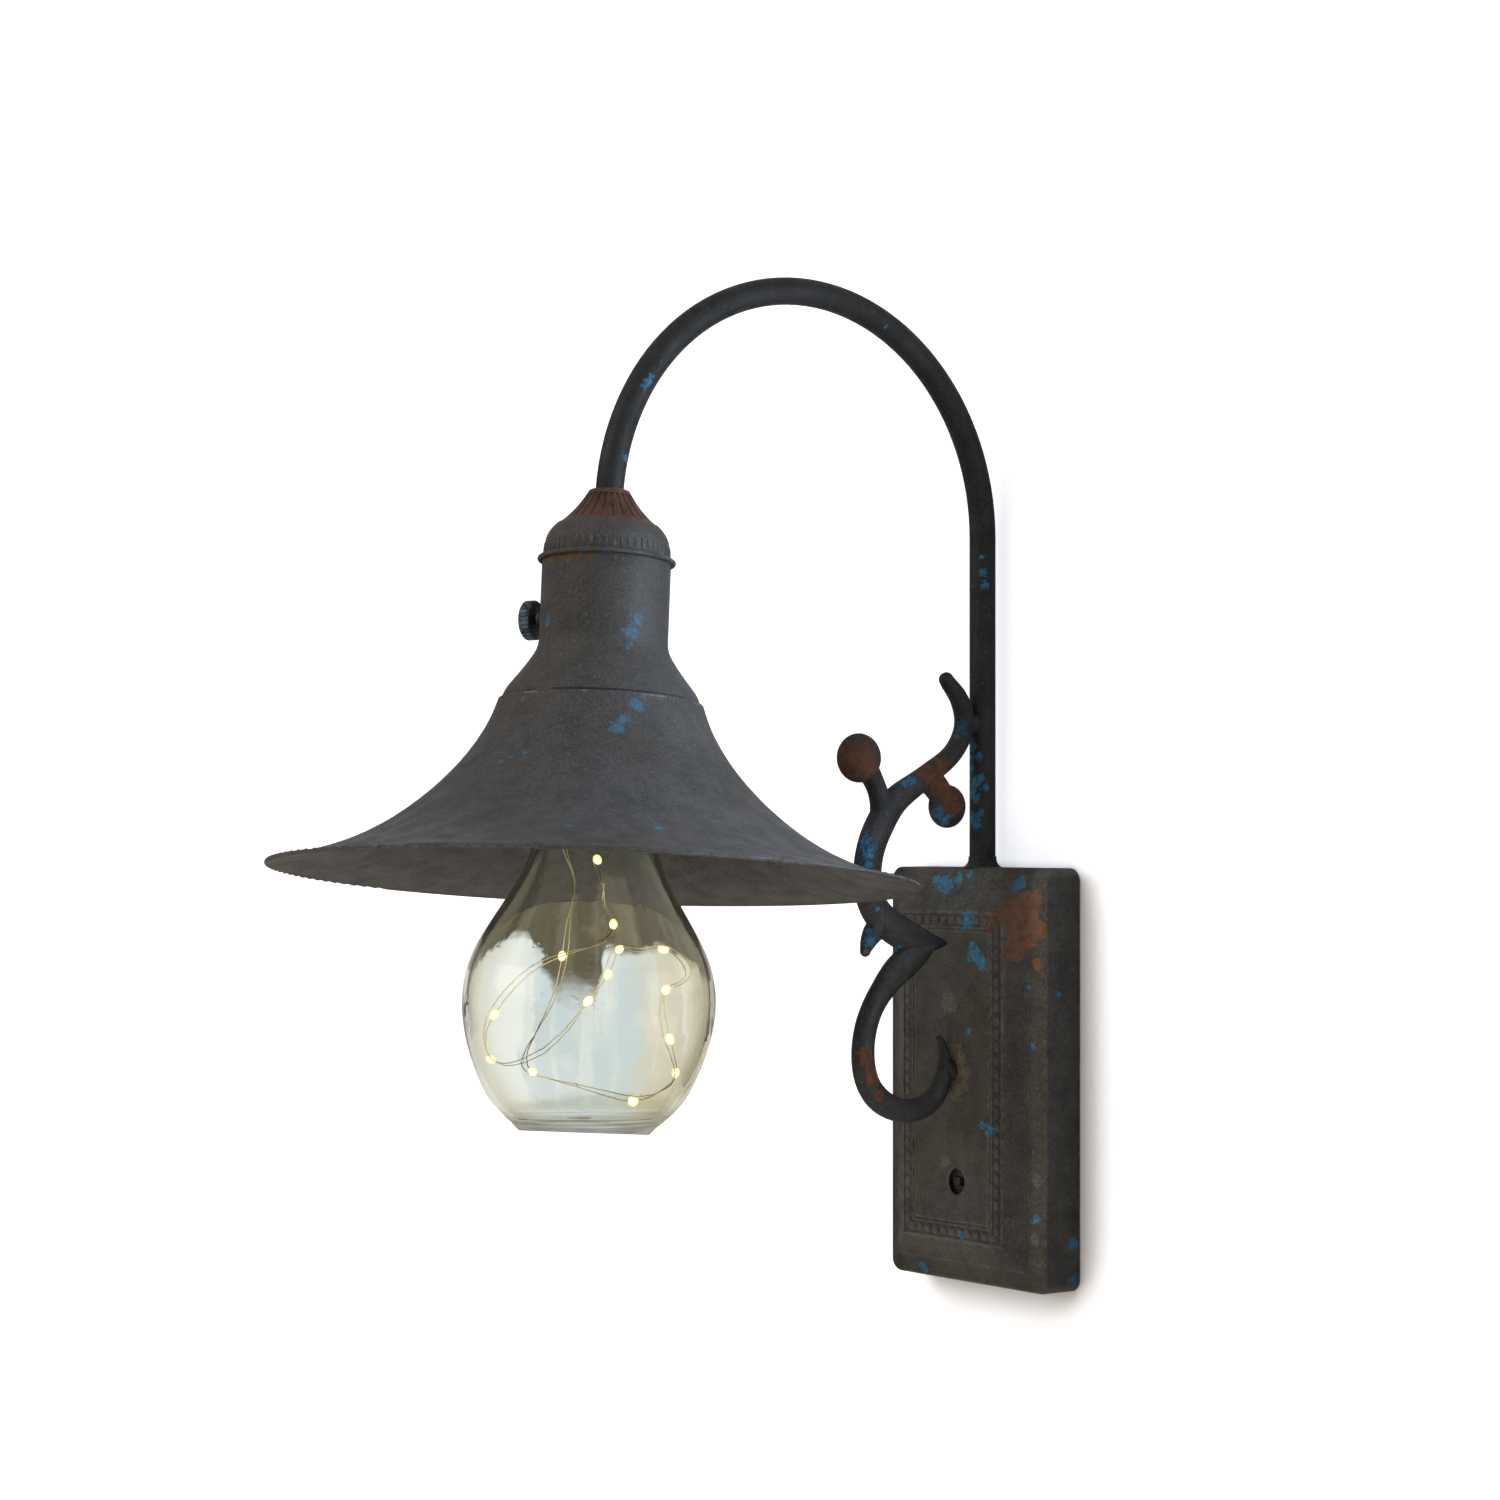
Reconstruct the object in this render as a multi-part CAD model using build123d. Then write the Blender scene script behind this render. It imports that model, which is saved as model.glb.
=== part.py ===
from build123d import *
import os
from math import atan2, cos, degrees, hypot, pi, radians, sin, tan

# A wall lantern: a pressed wall box carries a bent tube arm with a cast scroll bracket, and the arm
# carries a bell shade with a bottle-shaped glass globe and a battery light string.
# Origin on the wall at the centre of the back plate, +Z up, +X right as seen from the room, room at -Y.
# Sizes are in millimetres. "depth" is measured from the wall into the room, along -Y.

# Wall box
BOX_W = 111.0
BOX_H = 190.0
BOX_SIDE = 20.0
BOX_SHEET = 1.0
BOX_CORNER_R = 6.0
BOX_EDGE_R = 3.0
BEVEL_W = 9.0
BEVEL_RISE = 2.6
RIDGE_RISE = 1.2
BORDER_W = 19.0
BORDER_RISE = 3.4
FRAME_W = 9.0
FRAME_RISE = 1.0
PANEL_RISE = 0.8
STEP_RUN = 1.0
LUG_SIZE = 11.0
LUG_T = 1.4

# Back plate and its two hanging keyholes
BACK_T = 2.0
BACK_GAP = 0.3
KEY_SPACING = 60.0
KEY_Z = 62.0
KEY_ENTRY_R = 4.5
KEY_SLOT_W = 4.6
KEY_SLOT_RISE = 9.0

# Countersunk screws of the back plate and of the battery holder
SCREW_R = 1.5
SCREW_LEN = 8.0
SCREW_HEAD_R = 2.8
SCREW_HEAD_H = 1.5
SCREW_SUNK = 0.1
SCREW_INSET = 5.5

# Arm tube: a straight limb, a round arch and a short straight end inside the ferrule.
# The bend between arch and end is a trace fuller than the tube.
TUBE_R = 6.0
TUBE_WALL = 1.0
TUBE_ENTRY = 14.0
LIMB_LEN = 151.3
ARCH_R = 103.0
KNUCKLE_SHARE = 0.005
FOOT_R = 9.4
FOOT_H = 5.0

# The head hangs on the end of the arch with a slight lean out and to the right
HEAD_LEAN_OUT = 4.92
HEAD_LEAN_SIDE = 3.33

# Ferrule, cap, collar and skirt of the shade, along the head's axis
SHADE_SHEET = 0.8
FERRULE_H = 15.0
FERRULE_R = 21.2
FERRULE_LIP = 2.6
FERRULE_T = 1.6
FERRULE_HOLLOW = 1.0
FLUTE_COUNT = 26
FLUTE_R = 1.3
FLUTE_DEPTH = 0.5
FLUTE_SHARES = (0.12, 0.5, 0.86)
CAP_H = 16.0
CAP_SHOULDER = 0.6
CAP_INSET = 0.5
CAP_BEAD_R = 1.0
CAP_DOME = ((0, 0), (0.52, 0.2), (0.78, 0.36), (0.94, 0.6), (1, 1))
COLLAR_R = 27.2
NECK_LEN = 33.0
FLARE_H = 27.9
FLARE_R = 42.3
FLARE_SWELL = 2.63
SEAM_LAP = 1.5
SKIRT_H = 71.8
SKIRT_R = 136.6
SKIRT_SLOPE = 0.22
SKIRT_BELL = 0.56
SKIRT_LIP_POWER = 10
RIM_R = 1.0

# Hollow threaded nipple that draws the cap up against the tube, with its washer and nut
NIPPLE_WALL = 1.6
NIPPLE_UP = 11.0
NIPPLE_DOWN = 11.0
WASHER_R = 9.0
WASHER_T = 1.2
NUT_FLATS = 14.0
NUT_H = 5.0

# Glass globe: a long neck that goes up into the collar, and a round belly with a flat foot
GLASS_T = 2.5
GLASS_PLAY = 1.5
GLASS_TOP = 43.0
GLASS_NECK_LEN = 97.0
GLASS_BELLY_R = 52.8
GLASS_BELLY_DROP = 78.0
GLASS_SHOULDER_R = 38.8
GLASS_SHOULDER_DROP = 38.0
GLASS_THROAT_R = 28.3
GLASS_THROAT_DROP = 18.0
GLASS_HIP_R = 49.6
GLASS_HIP_DROP = 58.0
GLASS_WAIST_R = 43.5
GLASS_WAIST_DROP = 111.5
GLASS_FOOT_R = 30.0
GLASS_H = 227.0
GLASS_FOOT_EDGE = 3.0
GLASS_PUNT = 3.0

# Thumbscrew in its clinch nut on the collar, with a soft tip that bears on the glass neck
CLAMP_S = 54.0
CLAMP_ANGLE = 150.0
CLAMP_R = 2.0
CLAMP_NUT_R = 4.2
CLAMP_NUT_LEN = 3.0
CLAMP_SPIGOT_R = 3.0
KNOB_R = 8.5
KNOB_T = 5.0
KNOB_STAND = 4.7
KNOB_NOTCHES = 28
KNOB_NOTCH_R = 0.55
TIP_LEN = 0.9
TIP_PEG_R = 0.8
TIP_PEG_LEN = 1.6
TIP_GAP = 0.3

# Lead through the arm, splice, and light string hanging in the globe
LEAD_R = 1.0
LEAD_BEND_R = 40.0
SPLICE_R = 1.8
SPLICE_LEN = 12.0
STRING_R = 0.4
BEAD_R = 1.5
BEAD_LEN = 4.2

# Battery holder with two cells, its lid and contacts
CELL_R = 7.25
CELL_LEN = 50.5
NUB_R = 2.75
NUB_LEN = 1.0
CELL_GAP = 0.5
SPRING_LEN = 6.4
SPRING_WIRE_R = 0.4
SPRING_BASE_R = 4.4
SPRING_TURNS = 4
SPRING_CONE = 16.0
CONTACT_T = 0.5
CONTACT_W = 10.0
HOLDER_WALL = 1.5
HOLDER_RISE = 5.0
HOLDER_DEPTH = 19.5
EAR_LEN = 8.0
EAR_W = 10.0
EAR_T = 2.5
LID_T = 1.6
LID_GAP = 0.3
LID_SUNK = 0.3
LID_LEDGE = 0.9
LID_RIB = 1.0
LID_RIB_T = 1.5
LID_NOTCH_R = 6.0

# Slide switch behind the round hole in the panel
SWITCH_X = 4.0
SWITCH_UP = 47.1
SWITCH_HOLE_R = 6.0
SWITCH_FACE_BEHIND = 2.7
BAY_W = 24.0
BAY_ABOVE = 8.5
SWITCH_W = 12.0
SWITCH_H = 6.4
SWITCH_DEEP = 5.5
SLOT_W = 7.4
SLOT_H = 4.2
SLIDER_W = 3.6
SLIDER_OUT = 1.0
SLIDER_TRAVEL = 3.0
SLIDER_FOOT_T = 1.4
TERMINAL_PITCH = 3.0
TERMINAL_LEN = 4.0
TERMINAL_W = 1.2
TERMINAL_T = 0.6
RESISTOR_R = 0.9
RESISTOR_LEN = 3.3
RESISTOR_LEG_R = 0.3

# Scroll bracket: a cast bar of oval section, given by centre-line stations in the plane X = 0.
# Each station is (depth from the wall, height, thickness in the plane, width across the plane).
BAR_W = 9.6
HOOK_TO_THORN = [
    (31.5, 180.6, 6.8, 6.8),
    (28.6, 177.4, 7.6, 7.8),
    (24.9, 173.2, 8.3, 8.8),
    (22.1, 168.0, 8.7, BAR_W),
    (21.0, 161.5, 8.8, BAR_W),
    (22.8, 154.5, 8.9, BAR_W),
    (29.0, 146.2, 9.2, BAR_W),
    (38.5, 139.6, 10.0, BAR_W),
    (50.0, 132.6, 11.2, BAR_W),
    (61.0, 125.6, 13.0, BAR_W),
    (69.2, 116.0, 14.6, BAR_W),
    (74.3, 106.5, 14.6, BAR_W),
    (77.0, 96.0, 14.4, BAR_W),
    (76.8, 86.0, 14.4, BAR_W),
    (72.8, 76.5, 14.6, BAR_W),
    (64.0, 69.0, 15.0, BAR_W),
    (53.0, 63.8, 14.4, 0.95 * BAR_W),
    (43.5, 61.4, 10.0, 0.75 * BAR_W),
    (36.0, 60.7, 5.4, 0.5 * BAR_W),
    (32.6, 60.6, 2.4, 0.25 * BAR_W),
]
LOWER_SCROLL = [
    (39.5, 60.2, 5.0, 0.5 * BAR_W),
    (46.0, 57.2, 10.0, 0.85 * BAR_W),
    (54.0, 53.0, 14.0, BAR_W),
    (62.0, 47.3, 13.6, BAR_W),
    (68.0, 41.0, 11.8, BAR_W),
    (73.2, 34.2, 10.6, BAR_W),
    (77.4, 25.6, 10.6, BAR_W),
    (79.5, 16.2, 10.8, BAR_W),
    (79.5, 8.0, 11.2, BAR_W),
    (77.3, -0.4, 11.4, BAR_W),
    (72.0, -7.6, 11.6, BAR_W),
    (63.8, -12.6, 11.2, BAR_W),
    (53.9, -14.6, 10.7, BAR_W),
    (44.2, -12.6, 10.6, BAR_W),
    (37.2, -7.4, 9.8, 0.95 * BAR_W),
    (33.6, -0.4, 8.0, 0.85 * BAR_W),
    (32.6, 7.4, 6.0, 0.68 * BAR_W),
    (34.0, 13.6, 4.4, 0.5 * BAR_W),
    (35.6, 17.2, 3.0, 0.32 * BAR_W),
]
SIDE_LEAF = [
    (70.5, 69.5, 12.0, 0.9 * BAR_W),
    (75.8, 63.5, 8.6, 0.8 * BAR_W),
    (78.4, 57.8, 4.8, 0.5 * BAR_W),
]
FRONT_LEAF_STEM = [
    (69.0, 120.0, 12.0, 0.95 * BAR_W),
    (71.8, 130.5, 9.2, 0.95 * BAR_W),
    (76.0, 137.5, 10.5, 0.95 * BAR_W),
]
FRONT_LEAF = (82.0, 144.3, 11.1, 8.8)
REAR_LEAF_STEM = [
    (44.5, 137.0, 12.0, 0.9 * BAR_W),
    (38.0, 132.0, 13.0, 0.9 * BAR_W),
    (33.0, 126.0, 12.0, 0.85 * BAR_W),
]
REAR_LEAF = (31.1, 122.9, 9.9, 6.6)
WELD_R = 5.0
TUBE_WELD_Z = 160.5
PANEL_WELD_Z = 2.5

# Route of the light string in the globe: (right, towards the room, down the axis) from the head's origin.
STRING_ROUTE = [
    (0.0, 0.0, 47.0), (0.0, 0.0, 70.0), (3.0, -4.0, 98.0), (-4.0, 3.0, 127.0), (-4.5, -0.5, 149.0),
    (5.5, 2.5, 156.5), (11.5, 1.5, 167.0), (7.0, 1.0, 175.0), (16.0, -2.0, 184.5), (22.5, 10.5, 193.5),
    (16.5, 23.5, 198.0), (0.0, 29.5, 205.0), (-20.0, 34.0, 221.0), (-29.0, 33.0, 232.5), (-31.5, 28.5, 243.0),
    (-36.0, 13.0, 243.0), (-32.5, -3.5, 232.5), (-18.0, -12.5, 212.5), (-3.5, -12.0, 204.0),
    (5.0, -10.5, 191.0), (18.5, -11.5, 195.5), (32.0, -13.5, 192.5), (37.0, -22.0, 200.5),
    (30.0, -27.0, 206.5), (17.0, -25.5, 208.5), (12.0, -30.0, 219.0), (10.5, -34.5, 229.5),
    (12.0, -39.0, 245.0), (15.5, -28.5, 253.0), (18.5, -11.5, 257.0), (16.0, 3.5, 254.5), (5.0, 15.5, 250.5),
    (-10.0, 21.0, 247.0), (-23.0, 16.0, 239.5), (-29.0, 6.5, 226.5), (-25.5, 0.5, 210.0), (-16.0, 3.5, 196.0),
    (-9.5, 6.5, 181.0), (-8.0, 2.5, 166.0), (-12.0, 8.0, 152.0), (-13.0, 9.0, 136.0),
]
LIGHT_POINTS = [5, 8, 12, 14, 17, 18, 19, 21, 24, 26, 27, 29, 32, 36]

# Clearance between pieces that are fitted together
FIT = 0.05
SLIDE_FIT = 0.3

# Places that follow from the sizes above
box_top = BOX_H / 2
box_bottom = -BOX_H / 2
panel_depth = BOX_SIDE + BEVEL_RISE + RIDGE_RISE + BORDER_RISE + FRAME_RISE + PANEL_RISE
limb_depth = BOX_SIDE / 2
arch_z = box_top + LIMB_LEN
arch_depth = limb_depth + ARCH_R
arch_sweep = 180.0 - HEAD_LEAN_OUT
cap_s = FERRULE_H
cap_rim_s = cap_s + CAP_H
flange_s = cap_rim_s - 2 * CAP_BEAD_R
flare_s = cap_rim_s + NECK_LEN
seam_s = flare_s + FLARE_H
skirt_s = seam_s - SEAM_LAP
mouth_s = skirt_s + SKIRT_H + SEAM_LAP
collar_bore_r = COLLAR_R - SHADE_SHEET
glass_neck_r = collar_bore_r - GLASS_PLAY
nipple_r = TUBE_R - TUBE_WALL - FIT
nut_s = cap_s + SHADE_SHEET + WASHER_T
splice_s = STRING_ROUTE[0][2] - SPLICE_LEN
cavity_w = CELL_LEN + SPRING_LEN + 2 * CONTACT_T + 2 * CELL_GAP
cavity_h = 4 * CELL_R + 3 * CELL_GAP
holder_w = cavity_w + 2 * HOLDER_WALL
holder_h = cavity_h + 2 * HOLDER_WALL
holder_bottom = box_bottom + HOLDER_RISE
holder_z = holder_bottom + holder_h / 2
switch_z = box_bottom + SWITCH_UP
bay_top = switch_z + BAY_ABOVE
bay_depth = panel_depth - SWITCH_FACE_BEHIND
switch_back = bay_depth - HOLDER_WALL - SWITCH_DEEP
terminal_end = switch_back - TERMINAL_LEN
lead_x = SWITCH_X + TERMINAL_PITCH
lead_depth = terminal_end - RESISTOR_LEG_R

# Local frames: the wall as seen from the room, with local z into the room,
# and the head, with local z down its axis
WALL = Plane.XZ
end_angle = radians(arch_sweep)
arm_end = Vector(0, ARCH_R * cos(end_angle) - arch_depth, arch_z + ARCH_R * sin(end_angle))
head_down = Vector(tan(radians(HEAD_LEAN_SIDE)), -tan(radians(HEAD_LEAN_OUT)), -1).normalized()
head_right = (Vector(1, 0, 0) - head_down * head_down.X).normalized()
HEAD = Plane(origin=arm_end, x_dir=head_right, z_dir=head_down)


def block(width, height, x, z, depth_from, depth_to):
    """A box on the wall's face, from one depth to another."""
    return WALL * Pos(x, z, depth_from) * Box(
        width, height, depth_to - depth_from, align=(Align.CENTER, Align.CENTER, Align.MIN)
    )


def rod(radius, x, z, depth_from, depth_to):
    """A round bar square to the wall."""
    return WALL * Pos(x, z, depth_from) * Cylinder(
        radius, depth_to - depth_from, align=(Align.CENTER, Align.CENTER, Align.MIN)
    )


def spun(outline):
    """A solid turned from a closed outline of edges in (radius, 0, distance down the axis)."""
    return HEAD * revolve(make_face(outline), axis=Axis.Z)


def section(points):
    return [(r, 0, s) for r, s in points]


def inset_points(curve, points, wall):
    """Points at the wall's thickness inside a curve, square to it."""
    inner = []
    for point in points:
        along = curve.tangent_at(curve.param_at_point(Vector(point)))
        inner.append(Vector(point) + Vector(-along.Z, 0, along.X) * wall)
    return inner


def spun_sheet(profile, wall):
    """A sheet shell turned from its outer profile, listed from top to bottom."""
    points = section(profile)
    outer = Spline(*points)
    inner = Spline(*inset_points(outer, points, wall))
    return spun([outer, Line(outer @ 1, inner @ 1), inner, Line(inner @ 0, outer @ 0)])


def ring(radius, bar_r, s):
    """A round bar bent into a ring about the head's axis."""
    return HEAD * Pos(0, 0, s) * Torus(radius, bar_r)


def disc(outer_r, inner_r, s_from, s_to):
    """A flat or tubular ring about the head's axis."""
    tube = Cylinder(outer_r, s_to - s_from, align=(Align.CENTER, Align.CENTER, Align.MIN))
    tube -= Cylinder(inner_r, s_to - s_from, align=(Align.CENTER, Align.CENTER, Align.MIN))
    return HEAD * Pos(0, 0, s_from) * tube


def face_outline(inset, depth, skin):
    corner = max(BOX_CORNER_R - inset, BOX_SHEET)
    return WALL.offset(depth - skin) * RectangleRounded(BOX_W - 2 * inset, BOX_H - 2 * inset, corner)


def pressed_form(skin):
    """The outside of the wall box, or with a skin its inside, as one solid."""
    steps = [
        (BOX_EDGE_R, 0),
        (BEVEL_W, BEVEL_RISE),
        (BEVEL_W + STEP_RUN, RIDGE_RISE),
        (BORDER_W, BORDER_RISE),
        (BORDER_W + STEP_RUN, FRAME_RISE),
        (BORDER_W + FRAME_W, 0),
        (BORDER_W + FRAME_W + STEP_RUN, PANEL_RISE),
    ]
    base = RectangleRounded(BOX_W - 2 * skin, BOX_H - 2 * skin, BOX_CORNER_R - skin)
    form = extrude(WALL.offset(-skin) * base, BOX_SIDE)
    form = fillet(form.faces().sort_by(Axis.Y)[0].edges(), BOX_EDGE_R - skin)
    depth = BOX_SIDE
    for (inset, _), (next_inset, rise) in zip(steps, steps[1:]):
        if rise:
            lower = face_outline(inset, depth, skin)
            form += loft([lower, face_outline(next_inset, depth + rise, skin)], ruled=True)
            depth += rise
    return form


def corner_places():
    reach_x = BOX_W / 2 - BOX_SHEET - SCREW_INSET
    reach_z = BOX_H / 2 - BOX_SHEET - SCREW_INSET
    return [(sx * reach_x, sz * reach_z) for sx in (-1, 1) for sz in (-1, 1)]


def wall_housing():
    inside = pressed_form(BOX_SHEET)
    box = pressed_form(0) - inside
    for x, z in corner_places():
        lug = block(LUG_SIZE, LUG_SIZE, x, z, BACK_T, BACK_T + LUG_T)
        box += lug & inside
        box -= rod(SCREW_R + FIT, x, z, 0, 2 * SCREW_LEN)
    box -= Pos(0, -limb_depth, box_top) * Cylinder(TUBE_R + FIT, 4 * BOX_SHEET)
    return box - rod(SWITCH_HOLE_R, SWITCH_X, switch_z, BOX_SIDE, 2 * panel_depth)


def lid_opening(gap):
    """Width and height of the battery opening in the back plate, less a gap all round."""
    margin = LID_LEDGE - gap
    return cavity_w + 2 * margin, cavity_h + 2 * margin


def ear_places():
    return [(side * (holder_w + EAR_LEN) / 2, holder_z) for side in (-1, 1)]


def screw_hole(x, z):
    """Clearance hole and countersink in the back plate."""
    hole = rod(SCREW_R + FIT, x, z, 0, BACK_T)
    sink = Cone(
        SCREW_HEAD_R + FIT, SCREW_R + FIT, SCREW_HEAD_H, align=(Align.CENTER, Align.CENTER, Align.MIN)
    )
    return hole + rod(SCREW_HEAD_R + FIT, x, z, 0, SCREW_SUNK) + WALL * Pos(x, z, SCREW_SUNK) * sink


def back_plate():
    edge = BOX_SHEET + BACK_GAP
    outline = RectangleRounded(BOX_W - 2 * edge, BOX_H - 2 * edge, BOX_CORNER_R - edge)
    plate = extrude(WALL * outline, BACK_T)
    for side in (-1, 1):
        x = side * KEY_SPACING / 2
        plate -= rod(KEY_ENTRY_R, x, KEY_Z, 0, BACK_T)
        plate -= block(KEY_SLOT_W, KEY_SLOT_RISE, x, KEY_Z + KEY_SLOT_RISE / 2, 0, BACK_T)
        plate -= rod(KEY_SLOT_W / 2, x, KEY_Z + KEY_SLOT_RISE, 0, BACK_T)
    for x, z in corner_places() + ear_places():
        plate -= screw_hole(x, z)
    return plate - block(*lid_opening(0), 0, holder_z, 0, BACK_T)


def countersunk_screw(x, z):
    head = Cone(SCREW_HEAD_R, SCREW_R, SCREW_HEAD_H, align=(Align.CENTER, Align.CENTER, Align.MIN))
    return rod(SCREW_R, x, z, SCREW_SUNK, SCREW_LEN) + WALL * Pos(x, z, SCREW_SUNK) * head


def arm_run(radius, low_z, end_s, tail=None):
    """A round bar along the arm, after its tail if any: up the limb, over the arch, down the head."""
    spring = Vector(0, -limb_depth, arch_z)
    crown = Vector(0, -arch_depth, arch_z + ARCH_R)
    path = Line((0, -limb_depth, low_z), spring) + ThreePointArc(spring, crown, arm_end)
    if tail:
        path = tail + path
    bar = sweep(Plane(origin=path @ 0, z_dir=path % 0) * Circle(radius), path=path)
    bar += Pos(*arm_end) * Sphere(radius * (1 + KNUCKLE_SHARE))
    return bar + HEAD * Cylinder(radius, end_s, align=(Align.CENTER, Align.CENTER, Align.MIN))


def arm_tube():
    low_z = box_top - TUBE_ENTRY
    bore = arm_run(TUBE_R - TUBE_WALL, low_z, cap_s)
    return arm_run(TUBE_R, low_z, cap_s) - bore


def arm_foot():
    """The flared foot that is brazed round the tube on top of the box."""
    inner = TUBE_R + FIT
    toe = (FOOT_R, 0, 0)
    crest = (inner + BOX_SHEET / 2, 0, FOOT_H)
    waist = (inner + (FOOT_R - inner) / 3, 0, FOOT_H / 3)
    flare = ThreePointArc(toe, waist, crest)
    sides = Polyline(crest, (inner, 0, FOOT_H), (inner, 0, 0), toe)
    return Pos(0, -limb_depth, box_top) * revolve(make_face([flare, sides]), axis=Axis.Z)


def ferrule():
    """Fluted cone with a hollow curve, open below, whose lip hugs the tube."""
    bore_r = TUBE_R + FIT
    top_r = bore_r + FERRULE_LIP
    spread = FERRULE_R - top_r
    length = hypot(spread, cap_s)
    waist_r = top_r + spread / 2 - FERRULE_HOLLOW * cap_s / length
    waist_s = cap_s / 2 + FERRULE_HOLLOW * spread / length
    outer = ThreePointArc(*section([(top_r, 0), (waist_r, waist_s), (FERRULE_R, cap_s)]))
    inner = ThreePointArc(
        *section([(bore_r, 0), (waist_r - FERRULE_T, waist_s), (FERRULE_R - FERRULE_T, cap_s)])
    )
    shell = spun([outer, Line(outer @ 1, inner @ 1), inner, Line(inner @ 0, outer @ 0)])
    flute_points = [outer @ share for share in FLUTE_SHARES]
    groove = ThreePointArc(*inset_points(outer, flute_points, FLUTE_DEPTH - FLUTE_R))
    flute = sweep(Plane(origin=groove @ 0, z_dir=groove % 0) * Circle(FLUTE_R), path=groove)
    return shell - [HEAD * Rot(0, 0, 360 * i / FLUTE_COUNT) * flute for i in range(FLUTE_COUNT)]


def shade_cap():
    """Spun cap whose flange lies on the collar's edge, with a rolled bead that hangs over it."""
    shoulder_r = FERRULE_R + CAP_SHOULDER
    foot_r = COLLAR_R - CAP_INSET
    bead_r = COLLAR_R + FIT + CAP_BEAD_R
    foot_s = flange_s + SHADE_SHEET
    dome = [
        (shoulder_r + out * (foot_r - shoulder_r), cap_s + down * (foot_s - cap_s))
        for out, down in CAP_DOME
    ]
    cap = spun_sheet(dome, SHADE_SHEET)
    cap += disc(shoulder_r, nipple_r + FIT, cap_s, cap_s + SHADE_SHEET)
    cap += disc(bead_r, foot_r - SHADE_SHEET, flange_s, foot_s)
    return cap + ring(bead_r, CAP_BEAD_R, cap_rim_s - CAP_BEAD_R)


def flare_radius(s):
    share = (s - flare_s) / FLARE_H
    return COLLAR_R + (FLARE_R - COLLAR_R) * share**2 * (FLARE_SWELL - (FLARE_SWELL - 1) * share)


def clamp_bar(radius, r_from, r_to):
    """A round bar on the thumbscrew's axis, between two distances from the head's axis."""
    bar = Cylinder(radius, r_to - r_from, align=(Align.CENTER, Align.CENTER, Align.MIN))
    return HEAD * Pos(0, 0, CLAMP_S) * Rot(0, 0, CLAMP_ANGLE) * Pos(r_from, 0, 0) * Rot(0, 90, 0) * bar


def shade_collar():
    top = flange_s + SHADE_SHEET + FIT
    straight = section([(COLLAR_R, top), (COLLAR_R, flare_s)])
    bend = section([(flare_radius(flare_s + share * FLARE_H), flare_s + share * FLARE_H)
                    for share in (0, 0.3, 0.65, 1)])
    outer = Spline(*bend, tangents=[(0, 0, 1), ((3 - FLARE_SWELL) * (FLARE_R - COLLAR_R), 0, FLARE_H)])
    inner = Spline(*inset_points(outer, bend, SHADE_SHEET))
    wall_top = Polyline(inner @ 0, (collar_bore_r, 0, top), straight[0], straight[1])
    shell = spun([wall_top, outer, Line(outer @ 1, inner @ 1), inner])
    return shell - clamp_bar(CLAMP_SPIGOT_R + FIT, glass_neck_r, COLLAR_R + CLAMP_NUT_LEN)


def shade_skirt():
    top_r = FLARE_R + FIT + SHADE_SHEET
    spread = SKIRT_R - RIM_R - top_r
    length = mouth_s - skirt_s
    lip = 1 - SKIRT_SLOPE - SKIRT_BELL
    profile = [
        (top_r + spread * (SKIRT_SLOPE * t + SKIRT_BELL * t**2 + lip * t**SKIRT_LIP_POWER), skirt_s + t * length)
        for t in (0, 0.2, 0.4, 0.6, 0.75, 0.86, 0.94, 1)
    ]
    return spun_sheet(profile, SHADE_SHEET) + ring(SKIRT_R - RIM_R, RIM_R, mouth_s)


def nipple():
    return disc(nipple_r, nipple_r - NIPPLE_WALL, cap_s - NIPPLE_UP, cap_s + NIPPLE_DOWN)


def nipple_nut():
    hexagon = RegularPolygon(NUT_FLATS / 2, 6, major_radius=False) - Circle(nipple_r + FIT)
    return HEAD * Pos(0, 0, nut_s) * extrude(hexagon, NUT_H)


def glass_globe():
    neck_end = GLASS_TOP + GLASS_NECK_LEN
    foot_s = GLASS_TOP + GLASS_H
    belly = section([
        (glass_neck_r, neck_end),
        (GLASS_THROAT_R, neck_end + GLASS_THROAT_DROP),
        (GLASS_SHOULDER_R, neck_end + GLASS_SHOULDER_DROP),
        (GLASS_HIP_R, neck_end + GLASS_HIP_DROP),
        (GLASS_BELLY_R, neck_end + GLASS_BELLY_DROP),
        (GLASS_WAIST_R, neck_end + GLASS_WAIST_DROP),
        (GLASS_FOOT_R, foot_s - GLASS_FOOT_EDGE),
    ])
    outer = Spline(*belly, tangents=[(0, 0, 1), (-1, 0, 0.85)])
    inner = Spline(*inset_points(outer, belly, GLASS_T))
    floor_s = (inner @ 1).Z + GLASS_T / 2
    foot_flat = GLASS_FOOT_R - GLASS_FOOT_EDGE
    seat_r = foot_flat - 2 * GLASS_FOOT_EDGE
    punt = (0, 0, foot_s - GLASS_PUNT)
    foot = Polyline(outer @ 1, (foot_flat, 0, foot_s), (seat_r, 0, foot_s), punt)
    floor = Polyline(punt, (0, 0, floor_s - GLASS_PUNT), (seat_r, 0, floor_s), inner @ 1)
    bore_r = glass_neck_r - GLASS_T
    mouth = Polyline(inner @ 0, (bore_r, 0, GLASS_TOP), (glass_neck_r, 0, GLASS_TOP), outer @ 0)
    globe = spun([outer, foot, floor, inner, mouth])
    circles = globe.edges().filter_by(GeomType.CIRCLE)
    lip = circles.group_by(lambda edge: (edge.center() - arm_end).dot(head_down))[0]
    return fillet(lip, GLASS_T / 3)


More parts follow.
